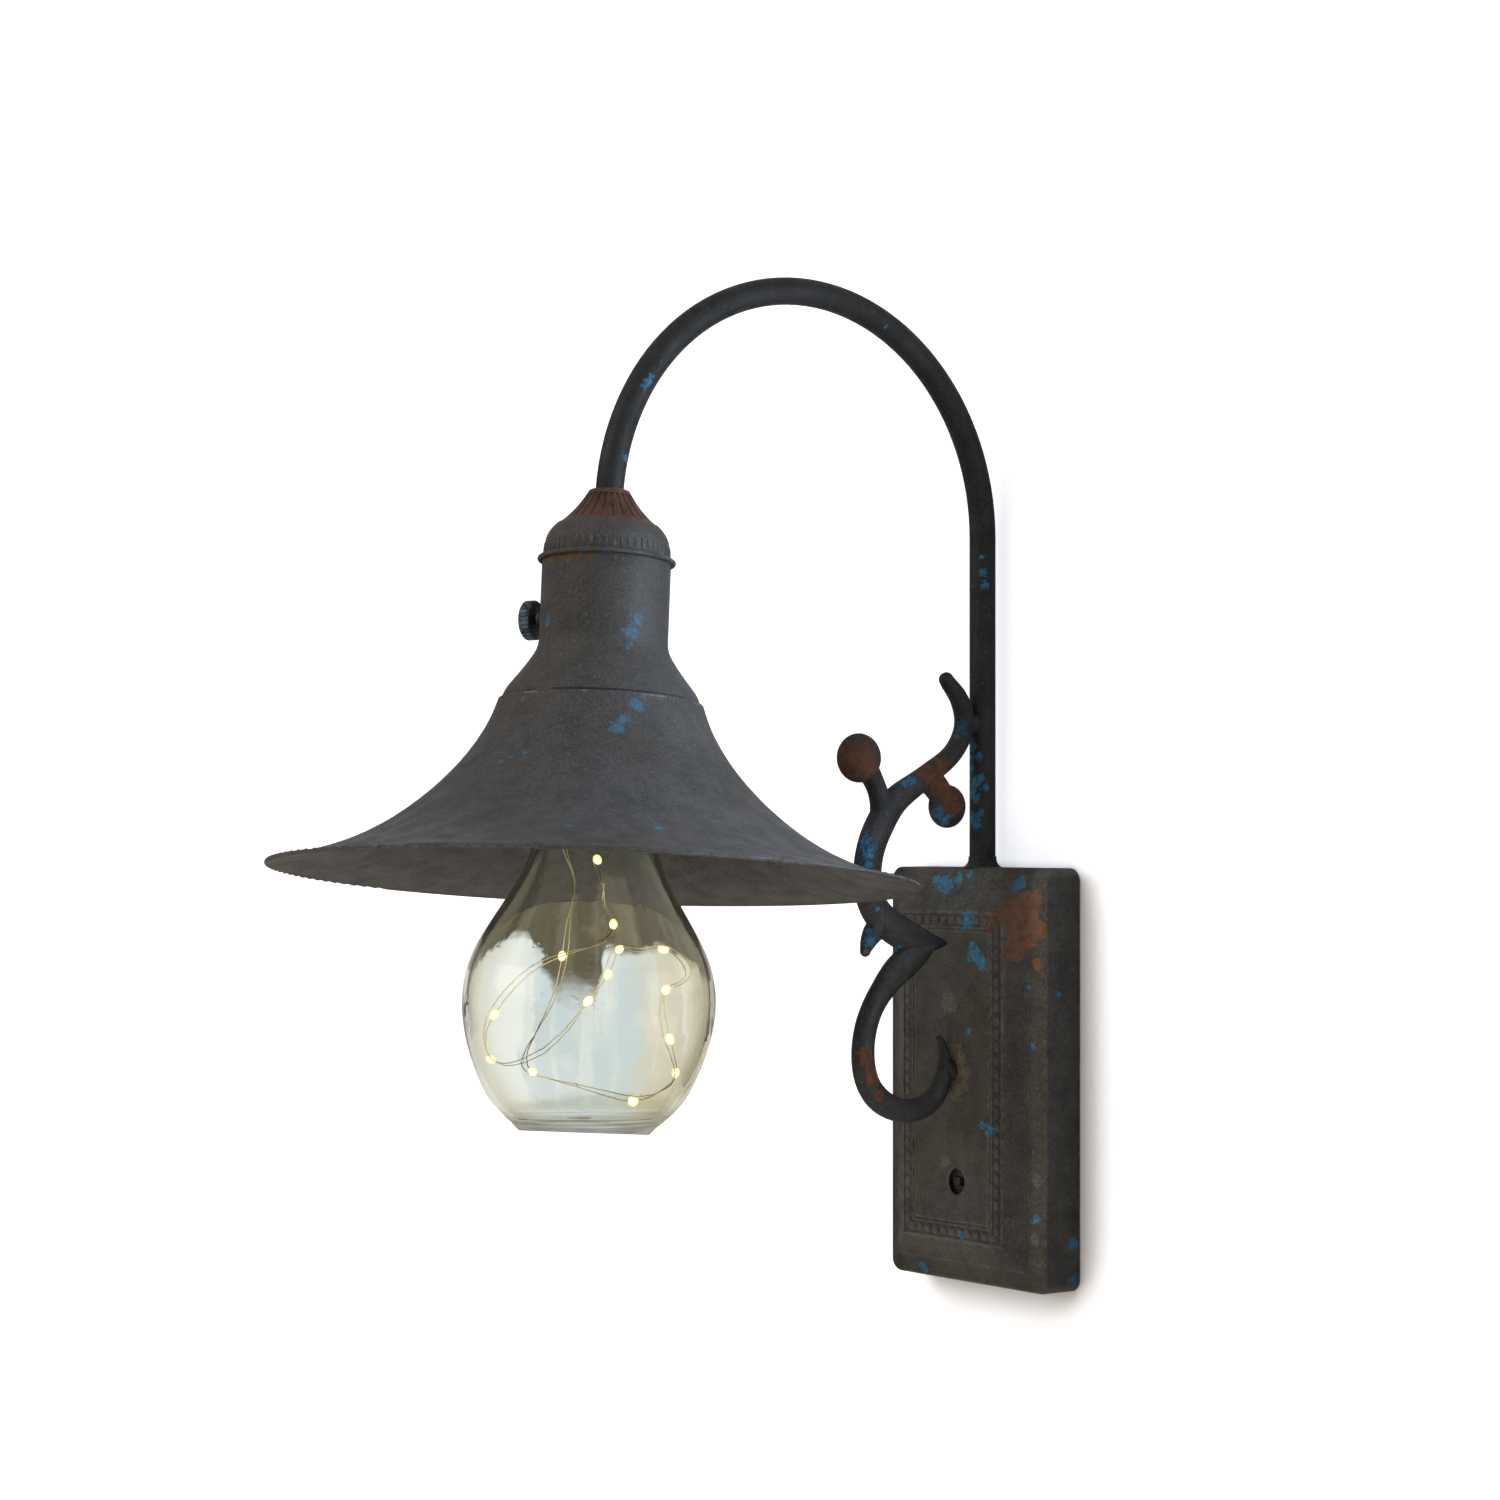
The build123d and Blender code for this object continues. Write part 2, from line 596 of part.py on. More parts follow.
def clamp_nut():
    shoulder = clamp_bar(CLAMP_NUT_R, COLLAR_R, COLLAR_R + CLAMP_NUT_LEN)
    body = shoulder + clamp_bar(CLAMP_SPIGOT_R, collar_bore_r, COLLAR_R + CLAMP_NUT_LEN)
    collar_skin = disc(COLLAR_R + FIT, collar_bore_r, CLAMP_S - 2 * CLAMP_NUT_R, CLAMP_S + 2 * CLAMP_NUT_R)
    body -= collar_skin - clamp_bar(CLAMP_SPIGOT_R, 0, 2 * COLLAR_R)
    return body - clamp_bar(CLAMP_R + FIT, 0, 2 * COLLAR_R)


def thumbscrew():
    tip_r = glass_neck_r + TIP_GAP + TIP_LEN
    knob_in = COLLAR_R + KNOB_STAND
    knob = clamp_bar(KNOB_R, knob_in, knob_in + KNOB_T)
    knob = chamfer(knob.edges().filter_by(GeomType.CIRCLE), KNOB_T / 8)
    notch = clamp_bar(KNOB_NOTCH_R, knob_in, knob_in + KNOB_T)
    out = clamp_bar(CLAMP_R, 0, KNOB_R).faces().filter_by(GeomType.PLANE)[0].center() - HEAD.origin
    axis = Axis(HEAD.origin + head_down * CLAMP_S, out - head_down * CLAMP_S)
    notch = notch.moved(Location(head_down * KNOB_R))
    notches = [notch.rotate(axis, 360 * i / KNOB_NOTCHES) for i in range(KNOB_NOTCHES)]
    screw = knob - notches + clamp_bar(CLAMP_R, tip_r, knob_in + KNOB_T / 2)
    return screw - clamp_bar(TIP_PEG_R + FIT, tip_r, tip_r + TIP_PEG_LEN + FIT)


def clamp_tip():
    bearing = glass_neck_r + TIP_GAP
    return clamp_bar(CLAMP_R - FIT, bearing, bearing + TIP_LEN - FIT) + clamp_bar(
        TIP_PEG_R, bearing, bearing + TIP_LEN + TIP_PEG_LEN
    )


def oval_bar(stations, round_ends):
    """A cast bar through oval sections along a smooth centre line in the plane X = 0."""
    points = [Vector(0, -depth, z) for depth, z, _, _ in stations]
    line = Spline(*points)
    ovals = []
    for point, (_, _, thickness, width) in zip(points, stations):
        along = line.tangent_at(line.param_at_point(point))
        ovals.append(Plane(origin=point, x_dir=(1, 0, 0), z_dir=along) * Ellipse(width / 2, thickness / 2))
    bar = loft(ovals)
    for end in round_ends:
        bar += Pos(*points[end]) * Sphere(0.51 * min(stations[end][2:]))
    return bar


def ball_leaf(depth, z, radius, half_width):
    """A flattened ball, turned from a four-centred oval, standing in the plane X = 0."""
    rim_r = 0.6 * half_width
    reach = radius - rim_r
    inset = half_width - rim_r
    behind = (reach**2 - inset**2) / (2 * inset)
    opening = atan2(reach, behind)
    cap_r = half_width + behind
    joint = (cap_r * cos(opening) - behind, cap_r * sin(opening))
    middle = (cap_r * cos(opening / 2) - behind, cap_r * sin(opening / 2))
    oval = [
        ThreePointArc((half_width, 0), middle, joint),
        ThreePointArc(joint, (0, radius), (-joint[0], joint[1])),
        ThreePointArc((-joint[0], joint[1]), (-middle[0], middle[1]), (-half_width, 0)),
        Line((-half_width, 0), (half_width, 0)),
    ]
    return Pos(0, -depth, z) * revolve(make_face(oval), axis=Axis.X)


def scroll_bracket():
    bracket = oval_bar(HOOK_TO_THORN, (0, -1))
    bracket += oval_bar(LOWER_SCROLL, (-1,))
    bracket += oval_bar(SIDE_LEAF, (-1,))
    bracket += oval_bar(FRONT_LEAF_STEM, ())
    bracket += oval_bar(REAR_LEAF_STEM, ())
    return bracket + ball_leaf(*FRONT_LEAF) + ball_leaf(*REAR_LEAF)


def scroll_welds(bracket):
    """Weld beads where the scroll meets the tube and the panel, cut to the pieces that they join."""
    tube_bead = Pos(0, -limb_depth - TUBE_R, TUBE_WELD_Z) * Sphere(WELD_R)
    tube_core = Pos(0, -limb_depth, TUBE_WELD_Z) * Cylinder(TUBE_R, 4 * WELD_R)
    panel_bead = Pos(0, -panel_depth, PANEL_WELD_Z) * Sphere(WELD_R)
    behind_panel = block(4 * WELD_R, 4 * WELD_R, 0, PANEL_WELD_Z, 0, panel_depth)
    beads = [tube_bead - tube_core - bracket, panel_bead - behind_panel - bracket]
    return Compound(children=[bead.solids().sort_by(SortBy.VOLUME)[-1] for bead in beads])


def lead_wire():
    """Two-core lead from the switch, up the limb, over the arch and down through the nipple."""
    low_z = box_top - TUBE_ENTRY
    start = Vector(lead_x, -lead_depth, switch_z + RESISTOR_LEN + 2 * HOLDER_WALL)
    rise = (low_z - start.Z) / 3
    route = FilletPolyline(
        start,
        start + Vector(0, 0, rise),
        Vector(0, -limb_depth, start.Z + 2 * rise),
        Vector(0, -limb_depth, low_z),
        radius=LEAD_BEND_R,
    )
    return arm_run(LEAD_R, low_z, splice_s, route)


def lead_splice():
    """Shrunk sleeve over the joint of the lead and the light string."""
    return HEAD * Pos(0, 0, splice_s) * Cylinder(
        SPLICE_R, SPLICE_LEN, align=(Align.CENTER, Align.CENTER, Align.MIN)
    )


def string_points():
    return [HEAD.from_local_coords(Vector(point)) for point in STRING_ROUTE]


def bend_radii(points):
    """The largest arc that each corner of a route leaves room for."""
    radii = []
    for before, corner, after in zip(points, points[1:], points[2:]):
        turn = radians((corner - before).get_angle(after - corner))
        shorter = min((corner - before).length, (after - corner).length)
        radii.append(0.45 * shorter / tan(turn / 2))
    return radii


def light_string():
    points = string_points()
    radii = bend_radii(points)
    route = FilletPolyline(*points, radius=radii)
    first_run = (points[1] - points[0]).normalized()
    wire = sweep(Plane(origin=points[0], z_dir=first_run) * Circle(STRING_R), path=route)
    ratio = wire.volume / (pi * STRING_R**2 * route.length)
    print("light string: length %.0f, tightest bend radius %.1f" % (route.length, min(radii)))
    print("light string: volume over section times length %.4f" % ratio)
    return wire


def light_beads(wire):
    """Clear resin beads moulded on the wire over each light, at the middle of a bend."""
    points = string_points()
    radii = bend_radii(points)
    beads = []
    for index in LIGHT_POINTS:
        before, corner, after = points[index - 1 : index + 2]
        arriving = (corner - before).normalized()
        leaving = (after - corner).normalized()
        half_turn = radians(arriving.get_angle(leaving)) / 2
        inward = (leaving - arriving).normalized()
        place = corner + inward * radii[index - 1] * (1 / cos(half_turn) - 1)
        seat = Plane(origin=place, z_dir=arriving + leaving)
        half = Ellipse(BEAD_LEN / 2, BEAD_R) & Rectangle(BEAD_LEN, BEAD_R, align=(Align.CENTER, Align.MIN))
        beads.append(seat * Rot(0, 90, 0) * revolve(half, axis=Axis.X) - wire)
    return beads


def battery_holder():
    holder = block(holder_w, holder_h, 0, holder_z, BACK_T, HOLDER_DEPTH)
    bay_h = bay_top - holder_bottom - holder_h / 2
    bay_z = bay_top - bay_h / 2
    holder += block(BAY_W, bay_h, SWITCH_X, bay_z, BACK_T, bay_depth)
    for x, z in ear_places():
        holder += block(EAR_LEN, EAR_W, x, z, BACK_T, BACK_T + EAR_T)
        holder -= rod(SCREW_R + FIT, x, z, 0, SCREW_LEN)
    holder -= block(cavity_w, cavity_h, 0, holder_z, 0, HOLDER_DEPTH - HOLDER_WALL)
    room_bottom = holder_z + holder_h / 2
    room_h = bay_top - HOLDER_WALL - room_bottom
    holder -= block(
        BAY_W - 2 * HOLDER_WALL, room_h, SWITCH_X, room_bottom + room_h / 2, 0, bay_depth - HOLDER_WALL
    )
    holder -= block(SLOT_W, SLOT_H, SWITCH_X, switch_z, switch_back, bay_depth)
    return holder - Pos(lead_x, -lead_depth, bay_top) * Cylinder(LEAD_R + SLIDE_FIT, 4 * HOLDER_WALL)


def battery_lid():
    width, height = lid_opening(LID_GAP)
    lid = block(width, height, 0, holder_z, LID_SUNK, LID_SUNK + LID_T)
    lid -= rod(LID_NOTCH_R, 0, holder_z + height / 2 + LID_NOTCH_R / 2, LID_SUNK, LID_SUNK + LID_T / 2)
    for side in (-1, 1):
        lid += block(LID_RIB_T, cavity_h - 2 * LID_LEDGE, side * CELL_LEN / 4, holder_z,
                     LID_SUNK + LID_T, LID_SUNK + LID_T + LID_RIB)
    return lid


def cell_rows():
    """Each cell's height and the side its positive end points to."""
    step = CELL_R + CELL_GAP / 2
    return [(holder_z + step, 1), (holder_z - step, -1)]


def along_row(side, reach, z, depth):
    """A frame on a cell's axis, at a reach from the middle, pointing towards that end."""
    return Plane(origin=(side * reach, -depth, z), z_dir=(side, 0, 0))


cell_depth = HOLDER_DEPTH - HOLDER_WALL - CELL_GAP / 2 - CELL_R
positive_reach = cavity_w / 2 - CONTACT_T - CELL_GAP


def battery_cells():
    cells = []
    for z, side in cell_rows():
        can_len = CELL_LEN - NUB_LEN
        end = along_row(side, positive_reach - CELL_LEN, z, cell_depth)
        can = Cylinder(CELL_R, can_len, align=(Align.CENTER, Align.CENTER, Align.MIN))
        can = fillet(can.edges().filter_by(GeomType.CIRCLE), NUB_LEN / 2)
        nub = Cylinder(NUB_R, CELL_LEN, align=(Align.CENTER, Align.CENTER, Align.MIN))
        cells.append(end * (can + nub))
    return cells


def contact_plates():
    plates = []
    for z, _ in cell_rows():
        for side in (-1, 1):
            x = side * (cavity_w - CONTACT_T) / 2
            plates.append(block(CONTACT_T, CONTACT_W, x, z, BACK_T + LID_T, HOLDER_DEPTH - HOLDER_WALL))
    return plates


def contact_springs():
    springs = []
    free_len = SPRING_LEN - 2 * SPRING_WIRE_R - FIT
    for z, side in cell_rows():
        seat = along_row(-side, cavity_w / 2 - CONTACT_T - SPRING_WIRE_R - FIT, z, cell_depth)
        turn = Helix(free_len / SPRING_TURNS, free_len, SPRING_BASE_R, cone_angle=-SPRING_CONE)
        round_wire = Plane(origin=turn @ 0, z_dir=turn % 0) * Circle(SPRING_WIRE_R)
        springs.append(seat * Rot(180, 0, 0) * sweep(round_wire, path=turn, is_frenet=True))
    return springs


def switch_body():
    front = bay_depth - HOLDER_WALL
    body = block(SWITCH_W, SWITCH_H, SWITCH_X, switch_z, switch_back, front)
    pocket_w = SLOT_W + 2 * HOLDER_WALL
    return body - block(pocket_w, SLOT_H, SWITCH_X, switch_z, front - SWITCH_DEEP / 2, front)


def switch_terminals():
    return [
        block(TERMINAL_W, TERMINAL_T, SWITCH_X + i * TERMINAL_PITCH, switch_z, terminal_end, switch_back)
        for i in (-1, 0, 1)
    ]


def switch_slider():
    rest_x = SWITCH_X - SLIDER_TRAVEL / 2
    front = bay_depth - HOLDER_WALL
    height = SLOT_H - 2 * SLIDE_FIT
    knob = block(SLIDER_W, height, rest_x, switch_z, front - SLIDER_FOOT_T, bay_depth + SLIDER_OUT)
    grooves = [
        block(SLIDER_W / 9, height, rest_x + i * SLIDER_W / 3.6, switch_z,
              bay_depth + SLIDER_OUT / 2, bay_depth + SLIDER_OUT)
        for i in (-1, 0, 1)
    ]
    foot_w = SLIDER_W + HOLDER_WALL
    foot = block(foot_w, height, rest_x, switch_z, front - SWITCH_DEEP / 2 + SLIDE_FIT, front - SLIDE_FIT)
    return knob - grooves + foot


def series_resistor():
    """Resistor soldered to the switch's outer terminal, with the lead joined to its upper leg."""
    top = switch_z + RESISTOR_LEN + 2 * HOLDER_WALL
    low = switch_z - TERMINAL_T / 2
    upright = (Align.CENTER, Align.CENTER, Align.MIN)
    legs = Pos(lead_x, -lead_depth, low) * Cylinder(RESISTOR_LEG_R, top - low, align=upright)
    return legs + Pos(lead_x, -lead_depth, switch_z + HOLDER_WALL) * Cylinder(
        RESISTOR_R, RESISTOR_LEN, align=upright
    )


def save(name, shape):
    """Write one piece, or a group of like pieces, under its own name."""
    group = Compound(children=list(shape)) if isinstance(shape, list) else shape
    export_step(group, "parts/" + name + ".step")


os.makedirs("parts", exist_ok=True)
bracket = scroll_bracket()
string = light_string()

save("wall_housing", wall_housing())
save("back_plate", back_plate())
save("back_plate_screws", [countersunk_screw(x, z) for x, z in corner_places()])
save("arm_tube", arm_tube())
save("arm_foot", arm_foot())
save("scroll_bracket", bracket)
save("scroll_welds", scroll_welds(bracket))
save("ferrule", ferrule())
save("shade_cap", shade_cap())
save("shade_collar", shade_collar())
save("shade_skirt", shade_skirt())
save("nipple", nipple())
save("nipple_washer", disc(WASHER_R, nipple_r + FIT, cap_s + SHADE_SHEET, nut_s))
save("nipple_nut", nipple_nut())
save("glass_globe", glass_globe())
save("clamp_nut", clamp_nut())
save("thumbscrew", thumbscrew())
save("clamp_tip", clamp_tip())
save("lead_wire", lead_wire())
save("lead_splice", lead_splice())
save("light_string", string)
save("light_beads", light_beads(string))
save("battery_holder", battery_holder())
save("holder_screws", [countersunk_screw(x, z) for x, z in ear_places()])
save("battery_lid", battery_lid())
save("battery_cells", battery_cells())
save("contact_plates", contact_plates())
save("contact_springs", contact_springs())
save("switch_body", switch_body())
save("switch_terminals", switch_terminals())
save("switch_slider", switch_slider())
save("series_resistor", series_resistor())
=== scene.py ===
import math
import random

import bmesh
import bpy
from bpy.props import FloatProperty, FloatVectorProperty, IntProperty, PointerProperty
from mathutils import Matrix, Vector


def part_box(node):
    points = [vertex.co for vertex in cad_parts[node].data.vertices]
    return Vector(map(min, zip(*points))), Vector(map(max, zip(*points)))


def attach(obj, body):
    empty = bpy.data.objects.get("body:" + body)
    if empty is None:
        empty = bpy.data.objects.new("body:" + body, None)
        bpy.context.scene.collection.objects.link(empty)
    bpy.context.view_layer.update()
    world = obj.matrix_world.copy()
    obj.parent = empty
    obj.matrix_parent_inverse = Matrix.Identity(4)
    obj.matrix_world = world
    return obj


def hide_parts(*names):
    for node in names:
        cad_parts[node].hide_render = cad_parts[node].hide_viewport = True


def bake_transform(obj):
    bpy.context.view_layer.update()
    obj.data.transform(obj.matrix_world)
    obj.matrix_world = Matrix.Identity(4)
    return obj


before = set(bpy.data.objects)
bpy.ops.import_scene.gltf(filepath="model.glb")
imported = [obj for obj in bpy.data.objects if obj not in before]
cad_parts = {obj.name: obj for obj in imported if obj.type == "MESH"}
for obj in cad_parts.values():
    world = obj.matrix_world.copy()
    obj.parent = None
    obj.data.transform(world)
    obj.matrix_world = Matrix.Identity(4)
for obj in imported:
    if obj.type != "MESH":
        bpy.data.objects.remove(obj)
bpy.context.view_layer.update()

bl_info = {
    "name": "Wall lantern",
    "version": (1, 0, 0),
    "blender": (4, 5, 0),
    "location": "View3D > Sidebar > Lantern",
    "description": "Dresses a wall lantern with a scroll bracket, a bell shade and a glass globe",
    "category": "Object",
}

# The head's own frame, repeated from the part: right, towards the room, and down its axis
HEAD_LEAN_OUT = math.radians(4.92)
HEAD_LEAN_SIDE = math.radians(3.33)
ARCH_R = 0.103
ARCH_CENTRE = Vector((0, -0.113, 0.2463))
head_origin = ARCH_CENTRE + Vector((0, -ARCH_R * math.cos(HEAD_LEAN_OUT), ARCH_R * math.sin(HEAD_LEAN_OUT)))
head_down = Vector((math.tan(HEAD_LEAN_SIDE), -math.tan(HEAD_LEAN_OUT), -1)).normalized()
head_right = (Vector((1, 0, 0)) - head_down * head_down.x).normalized()
head_front = head_down.cross(head_right)
HEAD = Matrix.Translation(head_origin) @ Matrix((head_right, head_front, head_down)).transposed().to_4x4()

# Route of the light string in the globe, in millimetres in the head's frame, and the points that carry a light
STRING_ROUTE = [
    (0.0, 0.0, 47.0), (0.0, 0.0, 70.0), (3.0, -4.0, 98.0), (-4.0, 3.0, 127.0), (-4.5, -0.5, 149.0),
    (5.5, 2.5, 156.5), (11.5, 1.5, 167.0), (7.0, 1.0, 175.0), (16.0, -2.0, 184.5), (22.5, 10.5, 193.5),
    (16.5, 23.5, 198.0), (0.0, 29.5, 205.0), (-20.0, 34.0, 221.0), (-29.0, 33.0, 232.5), (-31.5, 28.5, 243.0),
    (-36.0, 13.0, 243.0), (-32.5, -3.5, 232.5), (-18.0, -12.5, 212.5), (-3.5, -12.0, 204.0),
    (5.0, -10.5, 191.0), (18.5, -11.5, 195.5), (32.0, -13.5, 192.5), (37.0, -22.0, 200.5),
    (30.0, -27.0, 206.5), (17.0, -25.5, 208.5), (12.0, -30.0, 219.0), (10.5, -34.5, 229.5),
    (12.0, -39.0, 245.0), (15.5, -28.5, 253.0), (18.5, -11.5, 257.0), (16.0, 3.5, 254.5), (5.0, 15.5, 250.5),
    (-10.0, 21.0, 247.0), (-23.0, 16.0, 239.5), (-29.0, 6.5, 226.5), (-25.5, 0.5, 210.0), (-16.0, 3.5, 196.0),
    (-9.5, 6.5, 181.0), (-8.0, 2.5, 166.0), (-12.0, 8.0, 152.0), (-13.0, 9.0, 136.0),
]
LIGHT_POINTS = [5, 8, 12, 14, 17, 18, 19, 21, 24, 26, 27, 29, 32, 36]
LIGHT_RADII = (0.0017, 0.0017, 0.0025)

# How the second wire winds round the first: its turn and its rise from point to point, the share of the gap at
# its ends, and its gauge as a share of the first's
TWIN_TURN = 0.9
TWIN_RISE_TURN = 0.7
TWIN_RISE = 0.6
TWIN_END_SHARE = 0.3
TWIN_GAUGE_SHARE = 0.9

# Worn places, each x, y, z and radius in millimetres: chips down to the blue coat, rust, and pale rubbed places
BOX_CHIPS = [
    (-20, -21, 89, 3), (-14, -22, 88, 4), (-9, -23, 86, 4), (-4, -21, 90, 3), (3, -20, 92, 2),
    (40, -22, 88, 4), (11, -28, 71, 4), (15, -29, 60, 2), (17, -29, 56, 4), (22, -29, 52, 3),
    (47, -22, 42, 1.5), (55, -12, 39, 1.5), (13, -29, 21, 1.5), (49, -22, 16, 1.5), (27, -28, -23, 3),
    (22, -29, -21, 2), (50, -21, -61, 2), (7, -28, -72, 2), (-30, -20, -91, 3), (55, -4, -73, 3),
    (55, -4, -89, 3),
]
BOX_RUST = [
    (50, -21, 83, 3), (44, -24, 77, 8), (35, -28, 74, 6), (44, -24, 67, 8), (41, -25, 59, 6), (50, -21, 67, 5),
    (51, -21, 52, 3), (27, -28, 68, 3), (-49, -21, -59, 3), (-49, -21, -48, 2), (-38, -24, -85, 2),
]
BOX_PALE = [
    (-2, -29, 33, 5), (-4, -29, -40, 3), (8, -29, 9, 3), (5, -29, -6, 4), (11, -29, 2, 3), (50, -21, -44, 3),
    (50, -21, -70, 3),
]
ARM_CHIPS = [
    (6, -198, 305, 1.5), (6, -200, 302, 2), (6, -202, 300, 1.5), (5, -211, 269, 1.5), (5, -71, 337, 1),
    (4, -14, 237, 1), (5, -14, 230, 2), (5, -13, 224, 2), (-1, -16, 154, 2), (0, -16, 150, 2.5),
    (3, -15, 146, 2), (-1, -16, 145, 2), (-1, -16, 140, 2.5), (1, -16, 134, 3.5), (4, -15, 136, 2),
    (5, -12, 132, 2), (-1, -16, 129, 3), (2, -16, 127, 2), (0, -16, 118, 3), (2, -15, 115, 3),
    (4, -14, 120, 1.5),
]
SCROLL_CHIPS = [
    (3, -25, 158, 3), (3, -24, 161, 2), (2, -27, 155, 2), (3, -81, 111, 2), (3, -80, 107, 3), (4, -80, 102, 3),
    (4, -80, 97, 2), (3, -39, 120, 3), (3, -36, 117, 3), (3, -79, 63, 3), (3, -79, 67, 2), (2, -61, 59, 1.5),
    (5, -75, 77, 1), (3, -55, 135, 2.5), (3, -58, 133, 2),
]
SCROLL_RUST = [
    (8, -87, 144, 11), (7, -83, 137, 6), (5, -33, 129, 10), (4, -40, 135, 7), (5, -46, 138, 6),
    (5, -37, 142, 5), (5, -81, 11, 4), (5, -79, 6, 4), (5, -77, 1, 4), (5, -74, -7, 3),
]
SCROLL_PALE = [(2, -80, 58, 1.5), (3, -35, 115, 1.5)]
SHADE_CHIPS = [
    (30, -222, 199, 3), (30, -225, 194, 3), (31, -227, 188, 2), (2, -248, 199, 2), (49, -235, 163, 3),
    (50, -242, 157, 2.5), (51, -246, 153, 3), (25, -285, 140, 1.5), (28, -282, 142, 1.5), (32, -278, 143, 1.5),
    (102, -260, 113, 2.5), (87, -293, 114, 1.5), (107, -309, 105, 1.5),
]
SHADE_RUST = [
    (133, -220, 102, 3), (130, -200, 100, 3), (119, -179, 99, 3), (-2, -365, 102, 3), (-4, -245, 225, 2),
    (1, -246, 226, 3), (6, -246, 226, 2), (11, -245, 226, 3), (16, -242, 226, 2), (21, -239, 226, 2),
]
SHADE_PALE = [
    (48, -231, 167, 2), (13, -267, 167, 2), (20, -259, 172, 1), (49, -223, 166, 1), (98, -317, 106, 2),
]

# The seam between the flare and the skirt, down the head's axis
SEAM_S = 0.0900
SEAM_HALF = 0.0006

# Ribs round the foot of the cap: out from the head's axis, down it, their lean and their half sizes
RIB_R = 0.0265
RIB_S = 0.0258
RIB_LEAN = math.radians(3)
RIB_RADII = (0.0004, 0.0008, 0.0026)

# The box's half width and half height, and the frame on its face: depth of its floor, how far in its rails and its
# beads stand, a rail's section, and a bead's radii along and across its row
BOX_HALF = (0.0555, 0.095)
FRAME_FACE = -0.0282
RAIL_INSETS = (0.0207, 0.0273)
BEAD_INSET = 0.024
RAIL_W = 0.0011
RAIL_DEPTH = 0.0010
RAIL_ROUND = 0.00035
BEAD_ALONG = 0.0025
BEAD_ACROSS = 0.0021

# Painted light and shade across the box's width, as metres from its middle and a share of the paint's colour:
# # darker on the left edge, the right border and the side, lighter on the right bevel
BOX_LIGHT_TONES = [(-0.056, 0.30), (-0.047, 0.36), (-0.040, 0.90), (0.026, 1.05), (0.034, 0.68), (0.046, 0.62),
             (0.049, 1.05), (0.0545, 1.10), (0.0553, 0.52)]
TONE_MAX = 1.1

# What a tone in painted shade adds to red, green and blue, as a painted cool bounce from the wall, and the heights
# # between which painted shade darkens the box's foot
COOL_SHADE_TINT = (0, 0.05, 0.11)
BOX_FOOT_SHADE = (-0.078, -0.090)

# Pale scale that the weld left on the panel, right of the scroll's end
WELD_DIRT = [(4, -29, 11, 4), (7, -29, 7, 3), (6, -29, 2, 4), (5, -29, -4, 4), (3, -29, -9, 3), (9, -29, -3, 3)]

# Weld on the panel, and how far out, how large and how long the drops of its spatter are
PANEL_FACE = -0.029
PANEL_WELD_Z = 0.0025
SPATTER_SEED = 7
SPATTER_REACH = (0.0055, 0.0125)
SPATTER_SIZE = (0.0003, 0.0008)
SPATTER_STRETCH = (0.8, 1.5)

# Heights between which the scroll's hook turns black
HOOK_DARK_HEIGHTS = (0.142, 0.156)

# Foot of the glass: the heights between which it gets rough, its rings, and the dark line of painted shade round
# # its rim
GLASS_FOOT = (-0.003, -0.008)
FOOT_RING_RATE = 3600
FOOT_RIM_Z = -0.0045
FOOT_RIM_FADE = (0.0022, 0.0008)

# Heads of the screws in the back, and the arms of their cross recesses, drawn as thin dark sheets of painted shade
SCREW_HEAD_R = 0.0028
CROSS_ARM = (0.0030, 0.00006, 0.0006)
CROSS_TURNS = (20, 110)

# Reach of the wear along edges, depth of the paint's relief, and how dark the clouds in chips and rust are
WEAR_REACH = 0.0011
PAINT_DEPTH = 0.0006
DARK_SHARE = 0.62

# Stage: plane of the wall, half width and half height of its opening behind the box, the floor's middle, half the
# width of both, and the lamps' aim
WALL_Y = 0.0006
WALL_OPENING = (0.052, 0.092)
FLOOR_PLACE = (0, -1.2, -0.75)
STAGE_HALF = 6
LAMP_AIM = (0, -0.16, 0.1)

# Painted surroundings that show through the glass: light bands from right to left, their streaks, and above them
# # a painted dark reflection of the shade's underside
ROOM_BANDS = ((0.74, 0.68, 0.57), (0.66, 0.74, 0.80), (0.95, 0.96, 0.97))
ROOM_STREAK = (0.97, 0.97, 0.95)
ROOM_SHADE_REFLECTION = ((0.115, 0.095, 0.066), (0.17, 0.148, 0.11))


# Properties

def colour_setting(name, description, default):
    """A colour for the panel."""
    return FloatVectorProperty(name=name, description=description, subtype="COLOR", default=default, min=0,
                               max=1)


def measure_setting(name, description, unit, default, smallest=0):
    """A length, a power or a plain share for the panel."""
    return FloatProperty(name=name, description=description, unit=unit, default=default, min=smallest)


class LanternFinish(bpy.types.PropertyGroup):
    """Colours of the paint, rust, glass and light."""
    box_paint: colour_setting("Box paint", "Paint on the wall box", (0.082, 0.079, 0.074))
    arm_paint: colour_setting("Arm paint", "Paint on the tube", (0.018, 0.018, 0.018))
    scroll_paint: colour_setting("Scroll paint", "Paint on the scroll", (0.030, 0.030, 0.032))
    shade_paint: colour_setting("Shade paint", "Paint on the shade", (0.070, 0.068, 0.069))
    undercoat: colour_setting("Undercoat", "Blue coat that shows at chips", (0.044, 0.245, 0.455))
    rust: colour_setting("Rust", "Brown of the rusted places", (0.205, 0.104, 0.062))
    scuff: colour_setting("Scuff", "Pale grey of rubbed places", (0.190, 0.185, 0.180))
    glass: colour_setting("Glass", "Tint of the globe", (0.960, 0.975, 0.925))
    # Painted reflection: the olive tint stands in for the shade reflected where the glass is seen aslant
    glass_aslant_reflection: colour_setting("Glass edge", "Olive tint where the glass is seen aslant", (0.78, 0.75, 0.60))
    light: colour_setting("Light", "Colour of the lights", (1.0, 0.60, 0.18))
    light_glow: measure_setting("Light glow", "Brightness of a light as it is seen", "NONE", 1.6)


